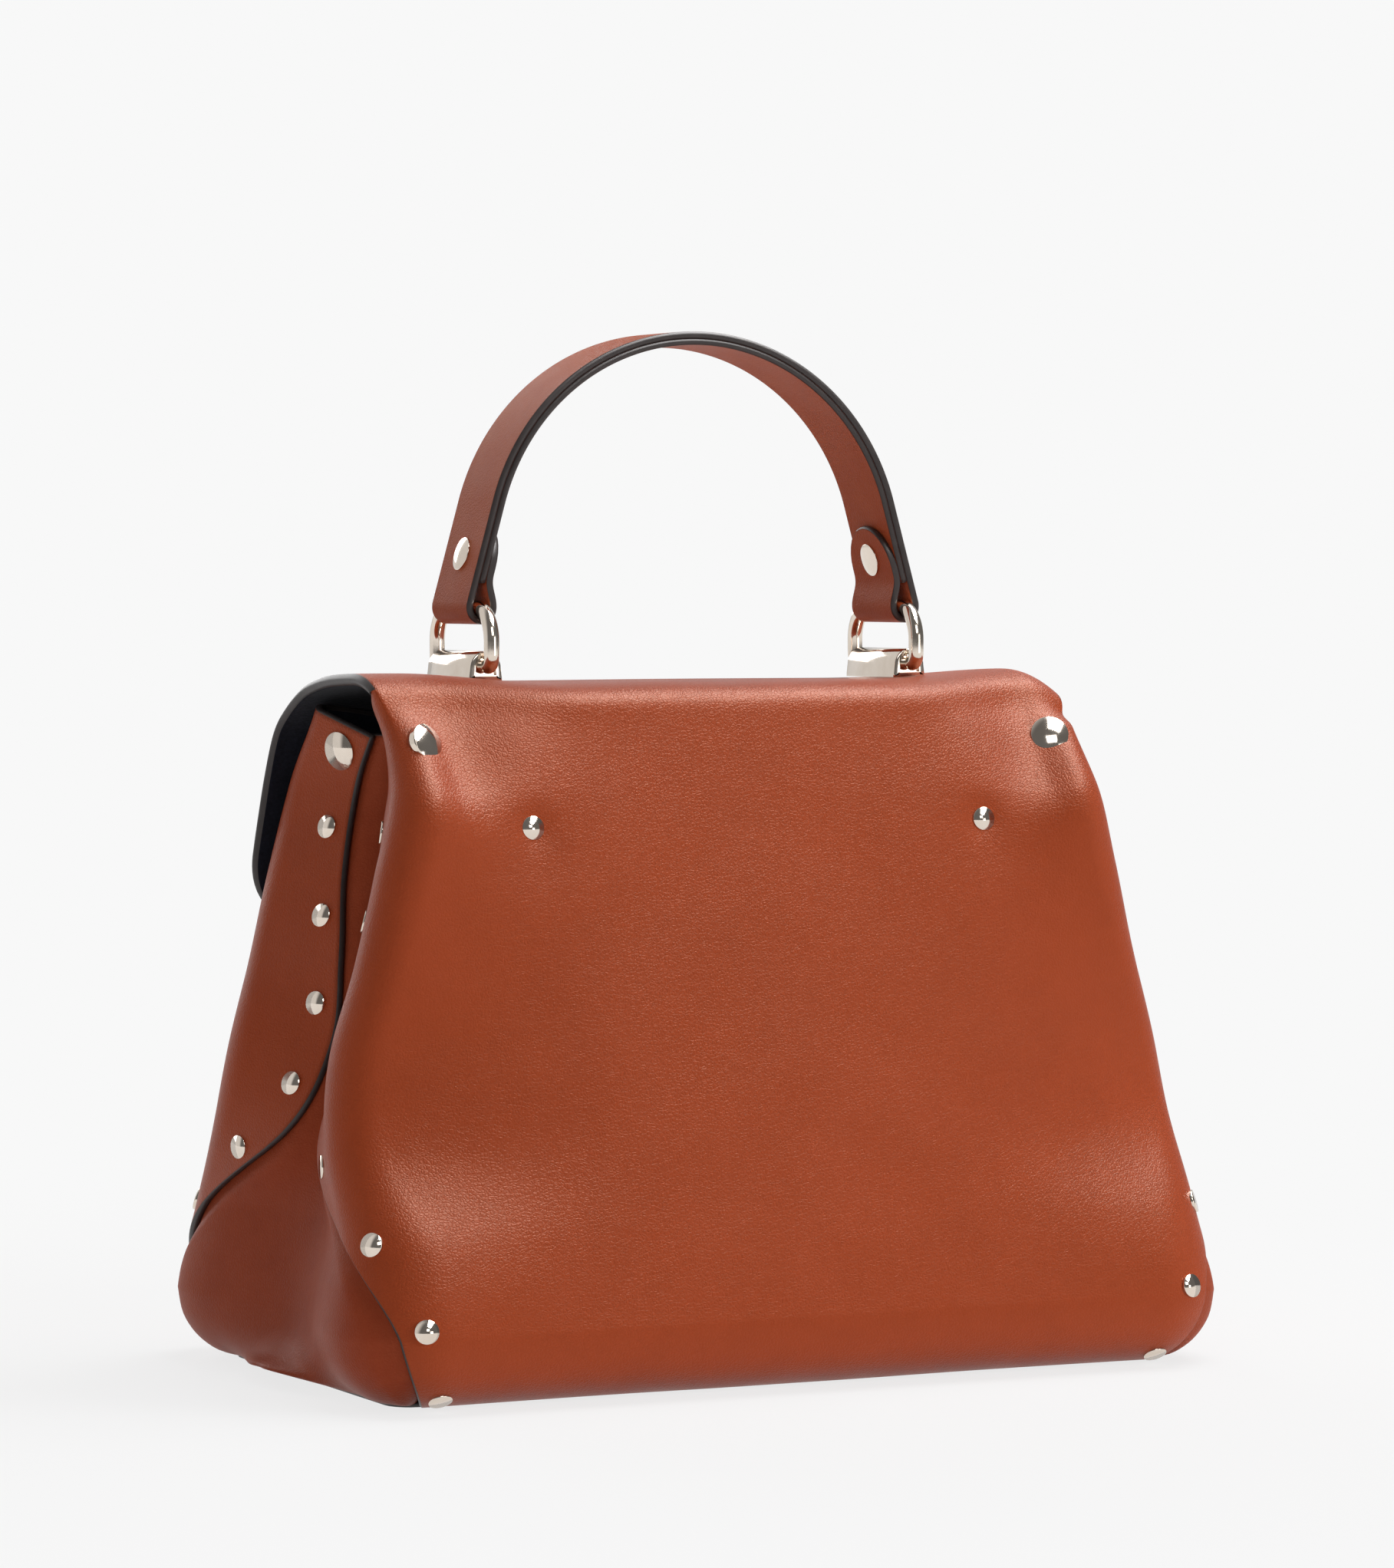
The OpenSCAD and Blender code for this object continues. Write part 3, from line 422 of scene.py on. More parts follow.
def suede(name, dark, light):
    """Short-nap suede: brushed, so that it is matte and a little lighter at grazing angles."""
    made, tree = new_material(name)
    place = node(tree, "ShaderNodeTexCoord").outputs["Object"]
    nap = node(tree, "ShaderNodeTexNoise", {"Vector": place, "Scale": 900, "Detail": 4})
    strokes = node(tree, "ShaderNodeTexNoise", {"Vector": place, "Scale": 45, "Detail": 3})
    blend = node(tree, "ShaderNodeMath", {0: nap.outputs["Fac"], 1: strokes.outputs["Fac"]},
                 operation="MULTIPLY")
    tone = node(tree, "ShaderNodeValToRGB", {0: blend.outputs[0]})
    tone.color_ramp.elements[0].position, tone.color_ramp.elements[1].position = 0.1, 0.45
    tone.color_ramp.elements[0].color = linear(dark)
    tone.color_ramp.elements[1].color = linear(light)
    fuzz = node(tree, "ShaderNodeBump", {"Strength": 0.5, "Distance": 0.0004,
                                         "Height": nap.outputs["Fac"]})
    skin = node(tree, "ShaderNodeBsdfPrincipled",
                {"Base Color": tone.outputs[0], "Roughness": 0.95, "Normal": fuzz.outputs[0],
                 "Specular IOR Level": 0.1, "Sheen Weight": 0.08, "Sheen Roughness": 0.6})
    node(tree, "ShaderNodeOutputMaterial", {"Surface": skin.outputs[0]})
    return made


# Edge paint: several brushed coats, rubber-like, satin, slightly uneven
edge_paint, tree = new_material("edge_paint_dark_brown")
place = node(tree, "ShaderNodeTexCoord").outputs["Object"]
strokes = node(tree, "ShaderNodeTexNoise", {"Vector": place, "Scale": 260, "Detail": 3})
tone = node(tree, "ShaderNodeValToRGB", {0: strokes.outputs["Fac"]})
tone.color_ramp.elements[0].color = linear("#282120")
tone.color_ramp.elements[1].color = linear("#3E3634")
skin_bump = node(tree, "ShaderNodeBump", {"Strength": 0.2, "Distance": 0.0002,
                                          "Height": strokes.outputs["Fac"]})
paint = node(tree, "ShaderNodeBsdfPrincipled",
             {"Base Color": tone.outputs[0], "Roughness": 0.42, "Normal": skin_bump.outputs[0]})
node(tree, "ShaderNodeOutputMaterial", {"Surface": paint.outputs[0]})

calf_body = calf("calf_leather_cognac", "#9A3F1F", "#A04221", "#A54524", 0.4, 0.34)
suede_navy = suede("suede_lining_navy", "#0C0D15", "#1C1E2A")
body_finish = [calf_body, suede_navy, edge_paint]

FLAP_MIDDLE = [(35.2, 181), (34.1, 186), (33.2, 189.3), (30.6, 192.2), (26, 193.9), (18, 194.4),
               (4, 194.5), (-10, 194.4), (-19, 194.2), (-29, 191.9), (-38, 186.5), (-44.5, 178),
               (-48.4, 167), (-50.2, 152), (-51.8, 139), (-53.6, 124.5)]
FLAP_SIDE = [(26.5, 181), (25.5, 186), (25.5, 190), (23.5, 193.6), (18.9, 196), (12.5, 197.1),
             (3, 197), (-8, 196.4), (-17, 195.2), (-27, 192.8), (-37, 187.5), (-44, 180.5),
             (-48.6, 168), (-51, 153), (-52.6, 139), (-54.5, 124.5)]
FLAP_TOP_HALF, FLAP_LOW_HALF, FLAP_CORNER = 109.5, 117, 20
FLAP_DROP, SECTION_TOP, BACK_TOP, HEM_TUCK = 70, 190.0, 181, 8
CAP_X, CAP_Z, POCKET_X, POCKET_Z = 97.5, 178.2, 70, 155

main_cols, strip_cols, wall_steps, roll_steps, flap_steps = 84, 26, 131, 12, 129
share_main = np.linspace(0, 1, main_cols + 1) ** 0.85
share_strip = np.linspace(0, 1, strip_cols + 1)[None, 1:]
wall_z = np.concatenate([np.full(roll_steps, BASE_R), np.linspace(BASE_R, BACK_TOP, wall_steps)])
wall_roll = np.concatenate([np.linspace(1, 0.08, roll_steps), np.zeros(wall_steps)])


def panel_columns(z, roll):
    """Distances from the middle for every column of a panel, at each row."""
    q = section(station(z))
    edge = q["edge"] - HEM_TUCK * roll
    ridge = np.minimum(q["ridge"], edge - 8)
    main = share_main[None] * ridge[:, None]
    return np.concatenate([main, ridge[:, None] + share_strip * (edge - ridge)[:, None]], 1)


def lively(p, amount):
    """Slow hand-made unevenness in a leather face, in millimetres."""
    x, y, z = p[..., 0], p[..., 1], p[..., 2]
    return amount * (np.sin(x / 23 + 1.3) * np.sin(z / 31 + 0.4)
                     + 0.6 * np.sin(x / 11 + z / 17) * np.sin(z / 13 - y / 19))


def rear_share(p):
    """1 at the back of the bag, running out to 0 over the top."""
    return ease((p[..., 1] + 25) / 45)


def both_halves(p):
    left = p[:, :0:-1].copy()
    left[..., 0] *= -1
    return np.concatenate([left, p], 1)


s = panel_columns(wall_z, wall_roll)
# the back strips narrow towards the top, clear of the turning flap
slim = 1 - 0.5 * ease((wall_z - 168) / 13)[:, None]
ridge = s[:, main_cols:main_cols + 1].copy()
s[:, main_cols:] = ridge + slim * (s[:, main_cols:] - ridge)
back = body_points(s, wall_z[:, None] + 0 * s, wall_roll[:, None] + 0 * s)
# the flap runs on from the top edge, over the roll and down the front
turn = np.linspace(0, len(FLAP_MIDDLE) - 1, flap_steps + 1)[1:]
mid_line = np.stack([along_list([p[i] for p in FLAP_MIDDLE], turn) for i in (0, 1)], -1)
side_line = np.stack([along_list([p[i] for p in FLAP_SIDE], turn) for i in (0, 1)], -1)
low = BODY_H - FLAP_DROP
drop = np.clip((BODY_H - mid_line[:, 1]) / FLAP_DROP, 0, 1) * (turn > 8)
half = mix(FLAP_TOP_HALF, FLAP_LOW_HALF, drop)
near = np.clip(FLAP_CORNER - (mid_line[:, 1] - low), 0, FLAP_CORNER) * (turn > 11)
half = half - (FLAP_CORNER - np.sqrt(np.maximum(FLAP_CORNER ** 2 - near ** 2, 0)))
half = half - 1.8 * (1 - ease((turn - 1.2) / 3))
f = share_main[None] + 0 * turn[:, None]
x = f * half[:, None]
w = ease((x - 50) / 45)[..., None]
yz = mid_line[:, None] * (1 - w) + side_line[:, None] * w
flap = np.concatenate([x[..., None], yz], -1)
under_z = np.minimum(flap[..., 2], SECTION_TOP)
under = body_points(f * section(station(under_z))["ridge"], under_z, 0 * f)
w = (ease((flap[..., 2] - BACK_TOP) / 10) + (turn[:, None] > 4))[..., None].clip(0, 1)
flap = under * (1 - w) + flap * w
taper = 0.5 * (1 - ease((turn + 0.6) / 4.2))[:, None] * share_strip
low_z = np.minimum(flap[:, -1, 2], SECTION_TOP)
q = section(station(low_z[:, None]))
root = body_points(q["ridge"], low_z[:, None], 0 * low_z[:, None])
extra = body_points(q["ridge"] + taper * (q["edge"] - q["ridge"]), low_z[:, None] + 0 * taper,
                    0 * taper)
extra = extra + (flap[:, -1:] - root)
hide = np.concatenate([back, np.concatenate([flap, extra], 1)], 0)

# puckers under the caps and rivets, and the lift of the ridge beside each cap
n = outward(hide, 20, 20)
rear = ease((hide[..., 1] - 5) / 12)
pull = 3.8 * gauss(hide, CAP_X - 9, CAP_Z - 5, 14) * ease((CAP_X + 7 - hide[..., 0]) / 14)
pull -= 1.4 * gauss(hide, CAP_X, CAP_Z - 20, 11)
pull += 1.1 * gauss(hide, POCKET_X, POCKET_Z, 5.5)
pull += 0.6 * gauss(hide, POCKET_X, POCKET_Z - 7, 10)
hide = hide + n * (lively(hide, UNEVEN) - pull * rear)[..., None]
wall_rows = len(wall_z)
# the fold over the back's top edge is a soft roll
give = ease((np.arange(hide.shape[0]) - wall_rows + 16) / 10)
give = (0.5 * give * ease((wall_rows + 46 - np.arange(hide.shape[0])) / 14))[1:-1, None, None]
SMOOTHING_PASSES = 60
for _ in range(SMOOTHING_PASSES):
    hide[1:-1] += give * ((hide[:-2] + hide[2:]) / 2 - hide[1:-1])
keep = np.ones((hide.shape[0] - 1, hide.shape[1] - 1), bool)
keep[wall_rows + np.searchsorted(turn, 2.9):, main_cols:] = False
hide = both_halves(hide)
# the bag has settled: its left top corner is drawn in and hangs a little lower
settled = ease((hide[..., 2] - 180) / 10) * rear_share(hide)
hide[..., 0] += 1.7 * settled * ease((-hide[..., 0] - 80) / 25)
hide[..., 2] -= 5 * settled * np.clip((-hide[..., 0] - 95) / 12, 0, 1.2) ** 1.8
keep = np.concatenate([keep[:, ::-1], keep], 1)
n = outward(hide, 30, hide.shape[1] // 2)
rows, cols = hide.shape[:2]
distance = np.abs(np.arange(cols) - cols // 2)
lap = ease((distance - main_cols) / 6)[None] * (np.arange(rows) < wall_rows + 6)[:, None]
thick = mix(WALL_T, LAP_T, lap)
thick = mix(thick, FLAP_T, ease((np.arange(rows) - wall_rows) / 25)[:, None])
main_hide = shell("main_hide", hide, hide - n * thick[..., None], quads(rows, cols, keep),
                  body_finish)
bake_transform(main_hide)
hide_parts("back_panel", "back_lining", "flap_leather", "flap_board", "flap_lining")

# ---------------------------------------------------------------- front panel
# The hide's other end: it rises from the base to the mouth, wraps the front
# corners, and is pressed flat where the closed flap lies on it.
FLAP_ROLL_R, FLAP_ROLL_Y, SNAP_ROOM = 26.5, 18.5, 3.4
FLAP_LEAN, FLAP_SLOPE = math.radians(7), 0.1228


def pressed(p):
    """Keep the front behind the closed flap, with room for the snap in the middle."""
    z = p[..., 2]
    rise, turn = z - (BODY_H - 30), FLAP_ROLL_R * math.sin(FLAP_LEAN)
    rolled = np.sqrt(np.maximum(FLAP_ROLL_R ** 2 - rise ** 2, 0))
    leaning = FLAP_ROLL_R * math.cos(FLAP_LEAN) + (turn - rise) * FLAP_SLOPE
    inside = FLAP_ROLL_Y + np.where(rise > turn, rolled, leaning)
    room = mix(0.8, SNAP_ROOM, ease((CAP_X - p[..., 0]) / 40))
    over = p[..., 1] - inside + room + 0.5
    step = np.where(over < 0, 0, np.where(over < 1, over * over / 2, over - 0.5))
    moved = p.copy()
    moved[..., 1] -= ease((z - (BODY_H - 104)) / 34) * step
    return moved


FRONT_TOP = 182
wall_z = np.concatenate([np.full(roll_steps, BASE_R), np.linspace(BASE_R, FRONT_TOP, wall_steps)])
s = panel_columns(wall_z, wall_roll)
q = section(station(wall_z[:, None]))
beyond = np.clip((s - q["ridge"]) / (q["edge"] - q["ridge"]), 0, 1)
# the top edge rises over the corner and slopes down along the strip
crown = 5.5 * ease((s - q["ridge"] + 45) / 45) - 8.5 * beyond
front_z = wall_z[:, None] + crown * ease((wall_z[:, None] - 140) / 42)
front = pressed(body_points(s, front_z, wall_roll[:, None] + 0 * s))
front = both_halves(front + outward(front, 20, 20) * lively(front + 50, UNEVEN)[..., None])
n = outward(front, 30, front.shape[1] // 2)
distance = np.abs(np.arange(front.shape[1]) - front.shape[1] // 2)
thick = mix(WALL_T, LAP_T, ease((distance - main_cols) / 6))[None, :, None]
inner = front - n * thick
flip = np.array([1, -1, 1])
front_panel = shell("front_panel_hide", front[:, ::-1] * flip, inner[:, ::-1] * flip,
                    quads(*front.shape[:2]), body_finish)
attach(front_panel, "bag")
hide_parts("front_panel", "front_lining")

# ---------------------------------------------------------------- gussets
# Softer, thinner calf folded into a deep V at each side. It is riveted behind
# the wrap-round edges; its lower edge flares over the base and is tucked in.
HEM_OUT = [0, 2, 6.5, 12]
HEM_UP = [20, 13, 7.8, 4.8]
HEM_TURN = np.radians([0, 18, 40, 0])
BASE_SIDE, GUSSET_T, GUSSET_BEHIND, GUSSET_TOP = 119, 2.2, 2.5, 179.5
hem_steps, lap_steps, fold_steps = 20, 14, 61
calf_gusset = calf("calf_leather_gusset", "#923E25", "#9C452A", "#A24A2F", 0.44, 0.14)


def gusset_points(s, z, roll, off):
    """The gusset's face, off millimetres out from the body's outer surface."""
    q = section(station(z))
    wall = on_section(q, s)
    straight = np.stack([wall[0] + wall[2] * off, wall[1] + wall[3] * off, z + 0 * s], -1)
    hem = []
    w = 1 - ease((q["valley"] - s - 6) / 48)
    for k, angle in enumerate(np.radians([0, 22.5, 45, 67.5])):
        flat = (BASE_R + off) * np.cos(angle) - BASE_R
        flare = HEM_OUT[k] + off * np.cos(HEM_TURN[k])
        out = mix(flat, flare, w)
        up = mix(BASE_R - (BASE_R + off) * np.sin(angle),
                 HEM_UP[k] + off * np.sin(HEM_TURN[k]), w)
        hem.append(np.stack([wall[0] + wall[2] * out, wall[1] + wall[3] * out, up], -1))
    w = ease((s - edge_now - 4) / 24)
    x = mix(wall[0] - wall[2] * BASE_R, BASE_SIDE - 2, w)
    y = wall[1] - wall[3] * BASE_R
    hem.append(np.stack([x, y, mix(-off, 2.4 - off, w)], -1))
    hem = np.array(hem)
    t = np.clip(roll * 4, 0, 3.9999)[..., None]
    i = np.floor(t).astype(int)
    near = [np.take_along_axis(hem, np.broadcast_to(np.clip(k, 0, 4), hem.shape[1:])[None], 0)[0]
            for k in (i - 1, i, i + 1, i + 2)]
    curve = curve_through(*near, t - i)
    return np.where((roll > 0)[..., None], curve, straight)


gusset_z = np.concatenate([np.full(hem_steps, BASE_R),
                           np.linspace(BASE_R, GUSSET_TOP, wall_steps)])[:, None]
gusset_roll = np.concatenate([np.linspace(1, 0.05, hem_steps), np.zeros(wall_steps)])[:, None]
q = section(station(gusset_z))
edge_now = q["edge"] - HEM_TUCK * gusset_roll
# half of the strip's width laps over the gusset
lap_start = edge_now - 0.5 * (edge_now - np.minimum(q["ridge"], edge_now - 20))
s = np.concatenate([mix(lap_start, edge_now, np.linspace(0, 1, lap_steps + 1)[None, :-1]),
                    mix(edge_now, q["valley"], np.linspace(0, 1, fold_steps)[None] ** 0.9)], 1)
z, roll = gusset_z + 0 * s, gusset_roll + 0 * s
behind = -GUSSET_BEHIND * (1 - ease((s - edge_now) / 12))
outside = gusset_points(s, z, roll, behind)
inside = gusset_points(s, z, roll, behind - GUSSET_T)
# shallow creases across the fold, running out at its edges
crease = 0.8 * np.sin(z / 9 + s / 14) * ease((s - edge_now - 10) / 30) * ease((z - 24) / 20)
crease = crease * ease((q["valley"] - s) / 12)
outside[..., 0] += crease * 0.5
inside[..., 0] += crease * 0.5


def folded(p, side):
    """The whole gusset of one side, from its back half; the valley lies at y 0."""
    far = p[:, -2::-1] * np.array([1, -1, 1])
    whole = np.concatenate([p, far], 1)
    whole[:, p.shape[1] - 1, 1] = 0
    return whole * np.array([side, 1, 1])


for side, name in ((1, "right"), (-1, "left")):
    outer, inner = folded(outside, side), folded(inside, side)
    if side < 0:
        outer, inner = outer[:, ::-1], inner[:, ::-1]
    gusset = shell("gusset_fold_" + name, outer, inner, quads(*outer.shape[:2]),
                   [calf_gusset, suede_navy, edge_paint])
    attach(gusset, "bag")
    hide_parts("gusset_" + name, "gusset_lining_" + name)

# ---------------------------------------------------------------- base
# The middle of the hide, flat under the bag, with straight painted side edges.
# Inside lies a stiffening board wrapped in the suede lining.
BASE_T, BASE_INSET, SIDE_CORNER = 1.8, BASE_R + 0.1, 8
INLAY_LOW, INLAY_HIGH, INLAY_INSET = 1.95, 4.9, 5
q = section(0.0)
s = np.linspace(0, 1, 60) * (q["edge"] - HEM_TUCK)
wall = on_section({k: v + 0 * s for k, v in q.items()}, s)
rim_x, rim_y = wall[0] - wall[2] * BASE_INSET, wall[1] - wall[3] * BASE_INSET
bend = np.linspace(0.25, 1, 7) * np.pi / 2
rim_x = np.concatenate([rim_x, rim_x[-1] + (BASE_SIDE - rim_x[-1]) * np.sin(bend)])
rim_y = np.concatenate([rim_y, rim_y[-1] - SIDE_CORNER * (1 - np.cos(bend))])
down = np.linspace(1, -1, 41)[:, None]


def slab(grow, low, high):
    """The base's outline, larger by grow, at two heights."""
    x, y = rim_x + np.sign(rim_x) * grow * rim_x / BASE_SIDE, rim_y + grow
    plan = np.stack([np.broadcast_to(x, (len(down), len(x))), down * y], -1)
    plan = np.concatenate([plan[:, :0:-1] * np.array([-1, 1]), plan], 1)
    return [np.concatenate([plan, np.full(plan.shape[:2] + (1,), h)], -1) for h in (low, high)]


low, high = slab(0, 0.0, BASE_T)
base = shell("base_leather", low[::-1], high[::-1], quads(*low.shape[:2]), body_finish)
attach(base, "bag")
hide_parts("base_panel")
low, high = slab(-INLAY_INSET, INLAY_HIGH, INLAY_LOW)
inlay = shell("base_inlay_suede", low, high, quads(*low.shape[:2]),
              [suede_navy, suede_navy, suede_navy])
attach(inlay, "bag")
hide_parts("base_lining", "base_stiffener")

# ---------------------------------------------------------------- inner pocket
# A slip pocket of the lining suede, hanging inside the back from two rivets.
POCKET_LOW, POCKET_TOP, POCKET_HALF, POCKET_IN, POCKET_T = 60, 163, 78, 5.35, 1.2
pocket_rows = np.linspace(POCKET_LOW, POCKET_TOP, 40)[:, None]
pocket_cols = np.linspace(-POCKET_HALF, POCKET_HALF, 61)[None]
q = section(station(pocket_rows))
wall = on_section(q, np.abs(pocket_cols) + 0 * pocket_rows)
z = pocket_rows + 0 * pocket_cols
across = np.sign(pocket_cols)
sheets = []
for deep in (POCKET_IN, POCKET_IN + POCKET_T):
    sheets.append(np.stack([across * (wall[0] - wall[2] * deep), wall[1] - wall[3] * deep, z],
                           -1))
pocket = shell("inner_pocket_suede", sheets[0], sheets[1], quads(*z.shape),
               [suede_navy, suede_navy, edge_paint])
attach(pocket, "bag")
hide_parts("inner_pocket")

# ---------------------------------------------------------------- studs and caps
# Domed rivets, turned or pressed in brass, bright nickel plated. One tree makes
# each row: a dome with a rounded foot on every point, turned to the leather.
nickel, tree = new_material("bright_nickel_plate")
place = node(tree, "ShaderNodeTexCoord").outputs["Object"]
haze = node(tree, "ShaderNodeTexNoise", {"Vector": place, "Scale": 160, "Detail": 3})
gloss = node(tree, "ShaderNodeMapRange", {"Value": haze.outputs["Fac"], 3: 0.07, 4: 0.16})
tone = node(tree, "ShaderNodeValToRGB", {0: haze.outputs["Fac"]})
tone.color_ramp.elements[0].color = linear("#D9CABA")
tone.color_ramp.elements[1].color = linear("#ECE1D5")
lines = node(tree, "ShaderNodeTexNoise", {"Vector": place, "Scale": 900, "Detail": 2})
handling = node(tree, "ShaderNodeBump", {"Strength": 0.05, "Distance": 0.00005,
                                         "Height": lines.outputs["Fac"]})
plate = node(tree, "ShaderNodeBsdfPrincipled",
             {"Base Color": tone.outputs[0], "Metallic": 1.0, "Roughness": gloss.outputs[0],
              "Normal": handling.outputs[0]})
node(tree, "ShaderNodeOutputMaterial", {"Surface": plate.outputs[0]})

rivet_tree = bpy.data.node_groups.new("domed_rivets", "GeometryNodeTree")
face = rivet_tree.interface
face.new_socket("Geometry", in_out="INPUT", socket_type="NodeSocketGeometry")
inputs = {}
for label, default in (("Head radius", 0.00325), ("Dome rise", 0.0018), ("Foot depth", 0.001)):
    inputs[label] = face.new_socket(label, in_out="INPUT", socket_type="NodeSocketFloat")
    inputs[label].default_value = default
face.new_socket("Geometry", in_out="OUTPUT", socket_type="NodeSocketGeometry")
given = node(rivet_tree, "NodeGroupInput")


def math_on(a, kind, b=0.0):
    """One step of arithmetic in the rivet tree, as a socket."""
    return node(rivet_tree, "ShaderNodeMath", {0: a, 1: b}, operation=kind).outputs[0]


cone = node(rivet_tree, "GeometryNodeMeshCone",
            {"Vertices": 36, "Side Segments": 14, "Radius Top": 0.02, "Radius Bottom": 1.0,
             "Depth": 1.0})
where = node(rivet_tree, "GeometryNodeInputPosition")
parts = node(rivet_tree, "ShaderNodeSeparateXYZ", {0: where.outputs[0]})
flat = node(rivet_tree, "ShaderNodeCombineXYZ", {0: parts.outputs[0], 1: parts.outputs[1]})
away = node(rivet_tree, "ShaderNodeVectorMath", {0: flat.outputs[0]}, operation="LENGTH")
radial = node(rivet_tree, "ShaderNodeVectorMath", {0: flat.outputs[0]}, operation="NORMALIZE")
# the cone's rings inside DOME_SHARE become the dome, the rest its foot
f = away.outputs["Value"]
DOME_SHARE, DOME_FULLNESS, PROUD = 0.82, 2.2, 0.0004
on_dome = math_on(math_on(f, "DIVIDE", DOME_SHARE), "MINIMUM", 1.0)
below = math_on(math_on(math_on(f, "SUBTRACT", DOME_SHARE), "MAXIMUM", 0.0), "DIVIDE",
                1 - DOME_SHARE)
level = math_on(math_on(on_dome, "MULTIPLY", math.pi / 2), "SINE")
reach = math_on(given.outputs["Head radius"], "MULTIPLY", level)
height = math_on(given.outputs["Dome rise"], "MULTIPLY",
                 math_on(1.0, "SUBTRACT", math_on(level, "POWER", DOME_FULLNESS)))
drop = math_on(given.outputs["Foot depth"], "MULTIPLY", below)
offset = node(rivet_tree, "ShaderNodeVectorMath", {0: radial.outputs[0], "Scale": reach},
              operation="SCALE")
proud = math_on(height, "ADD", PROUD)
lift = node(rivet_tree, "ShaderNodeCombineXYZ", {2: math_on(proud, "SUBTRACT", drop)})
final = node(rivet_tree, "ShaderNodeVectorMath", {0: offset.outputs[0], 1: lift.outputs[0]},
             operation="ADD")
dome = node(rivet_tree, "GeometryNodeSetPosition",
            {"Geometry": cone.outputs["Mesh"], "Position": final.outputs[0]})
facing = node(rivet_tree, "GeometryNodeInputNamedAttribute", {"Name": "facing"},
              data_type="FLOAT_VECTOR")
aim = node(rivet_tree, "FunctionNodeAlignRotationToVector", {"Vector": facing.outputs[0]},
           axis="Z")
every = node(rivet_tree, "GeometryNodeInstanceOnPoints",
             {"Points": given.outputs["Geometry"], "Instance": dome.outputs[0],
              "Rotation": aim.outputs[0]})
real = node(rivet_tree, "GeometryNodeRealizeInstances", {0: every.outputs[0]})
smooth = node(rivet_tree, "GeometryNodeSetShadeSmooth", {0: real.outputs[0]})
plated = node(rivet_tree, "GeometryNodeSetMaterial", {"Geometry": smooth.outputs[0],
                                                      "Material": nickel})
node(rivet_tree, "NodeGroupOutput", {0: plated.outputs[0]})


def rivets(name, places, radius, rise, body, nodes, foot=1.0):
    """A row of rivets from (point, direction) pairs, made by the tree."""
    mesh = bpy.data.meshes.new(name + "_points")
    mesh.from_pydata([tuple(v / 1000 for v in p) for p, _ in places], [], [])
    away = mesh.attributes.new("facing", "FLOAT_VECTOR", "POINT")
    away.data.foreach_set("vector", np.array([d for _, d in places], np.float32).ravel())
    seeds = bpy.data.objects.new(name + "_seeds", mesh)
    bpy.context.collection.objects.link(seeds)
    made = seeds.modifiers.new("rivets", "NODES")
    made.node_group = rivet_tree
    for label, value in (("Head radius", radius), ("Dome rise", rise), ("Foot depth", foot)):
        made[inputs[label].identifier] = value / 1000
    view = bpy.context.evaluated_depsgraph_get()
    done = bpy.data.objects.new(name, bpy.data.meshes.new_from_object(seeds.evaluated_get(view)))
    bpy.data.objects.remove(seeds)
    bpy.context.collection.objects.link(done)
    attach(done, body)
    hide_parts(*nodes)


def skin_of(thing):
    """A tree of the piece's faces, for rays that seek its surface."""
    shape = bmesh.new()
    shape.from_mesh(thing.data)
    tree = BVHTree.FromBMesh(shape)
    shape.free()
    return tree


def seat(skin, point, away):
    """The place on a leather face met from outside, and the direction it faces."""
    start = (Vector(point) + 12 * Vector(away)) / 1000
    hit, facing, _, _ = skin.ray_cast(start, -Vector(away))
    return hit * 1000, facing


def cut_edge_point(z, inset):
    """Outer surface at a distance from the cut edge, and its outward normal."""
    q = section(station(max(z, BASE_R)))
    roll = math.asin((BASE_R - z) / BASE_R) / (math.pi / 2) if z < BASE_R else 0
    s = np.array(q["edge"] - HEM_TUCK * roll - inset)
    _, _, nx, ny = on_section(q, s)
    lean = math.cos(roll * math.pi / 2)
    return (body_points(s, np.array(float(z)), np.array(float(roll))),
            np.array([nx * lean, ny * lean, -math.sin(roll * math.pi / 2)]))


back_skin, front_skin = skin_of(main_hide), skin_of(front_panel)
STUD, CAP, HANDLE_CAP = (3.3, 1.1), (5.5, 1.3), (4.8, 0.7)      # head radius and dome rise
# height of each stud in a row, and its distance from the cut edge
STUDS = [(3, 9), (22.8, 8), (45, 12.4), (63, 11), (82, 8.5), (104.5, 7.5), (128.8, 7), (153.5, 8)]
for side, name in ((1, "right"), (-1, "left")):
    for skin, way, end in ((back_skin, 1, "back"), (front_skin, -1, "front")):
        row = []
        for z, inset in STUDS:
            turned = np.array([side, way, 1])
            p, away = cut_edge_point(z, inset)
            row.append(seat(skin, p * turned, away * turned))
        rivets("studs_" + end + "_" + name + "_domes", row, *STUD, "bag",
               ["studs_" + end + "_" + name])
# the back caps face the middle of the back, with a foot deep enough for its dip
caps = []
for side in (1, -1):
    place, _ = seat(back_skin, (side * CAP_X + 0.8, 30, CAP_Z - 1), (0, 0.96, 0.26))
    caps.append((place, Vector((-0.06 - 0.36 * side, 0.82, 0.42)).normalized()))
rivets("corner_caps_back_domes", caps, *CAP, "bag", ["corner_caps_back"], 2.6)
caps = []
for side in (1, -1):
    p, away = cut_edge_point(175, 10.4)
    turned = np.array([side, -1, 1])
    caps.append(seat(front_skin, p * turned, away * turned))
rivets("corner_caps_front_domes", caps, *CAP, "bag", ["corner_caps_front"])
pair = [seat(back_skin, (side * 70.4, 44.3, POCKET_Z), (0, 1, 0)) for side in (1, -1)]
rivets("pocket_rivet_domes", pair, *STUD, "bag", ["pocket_rivets"])

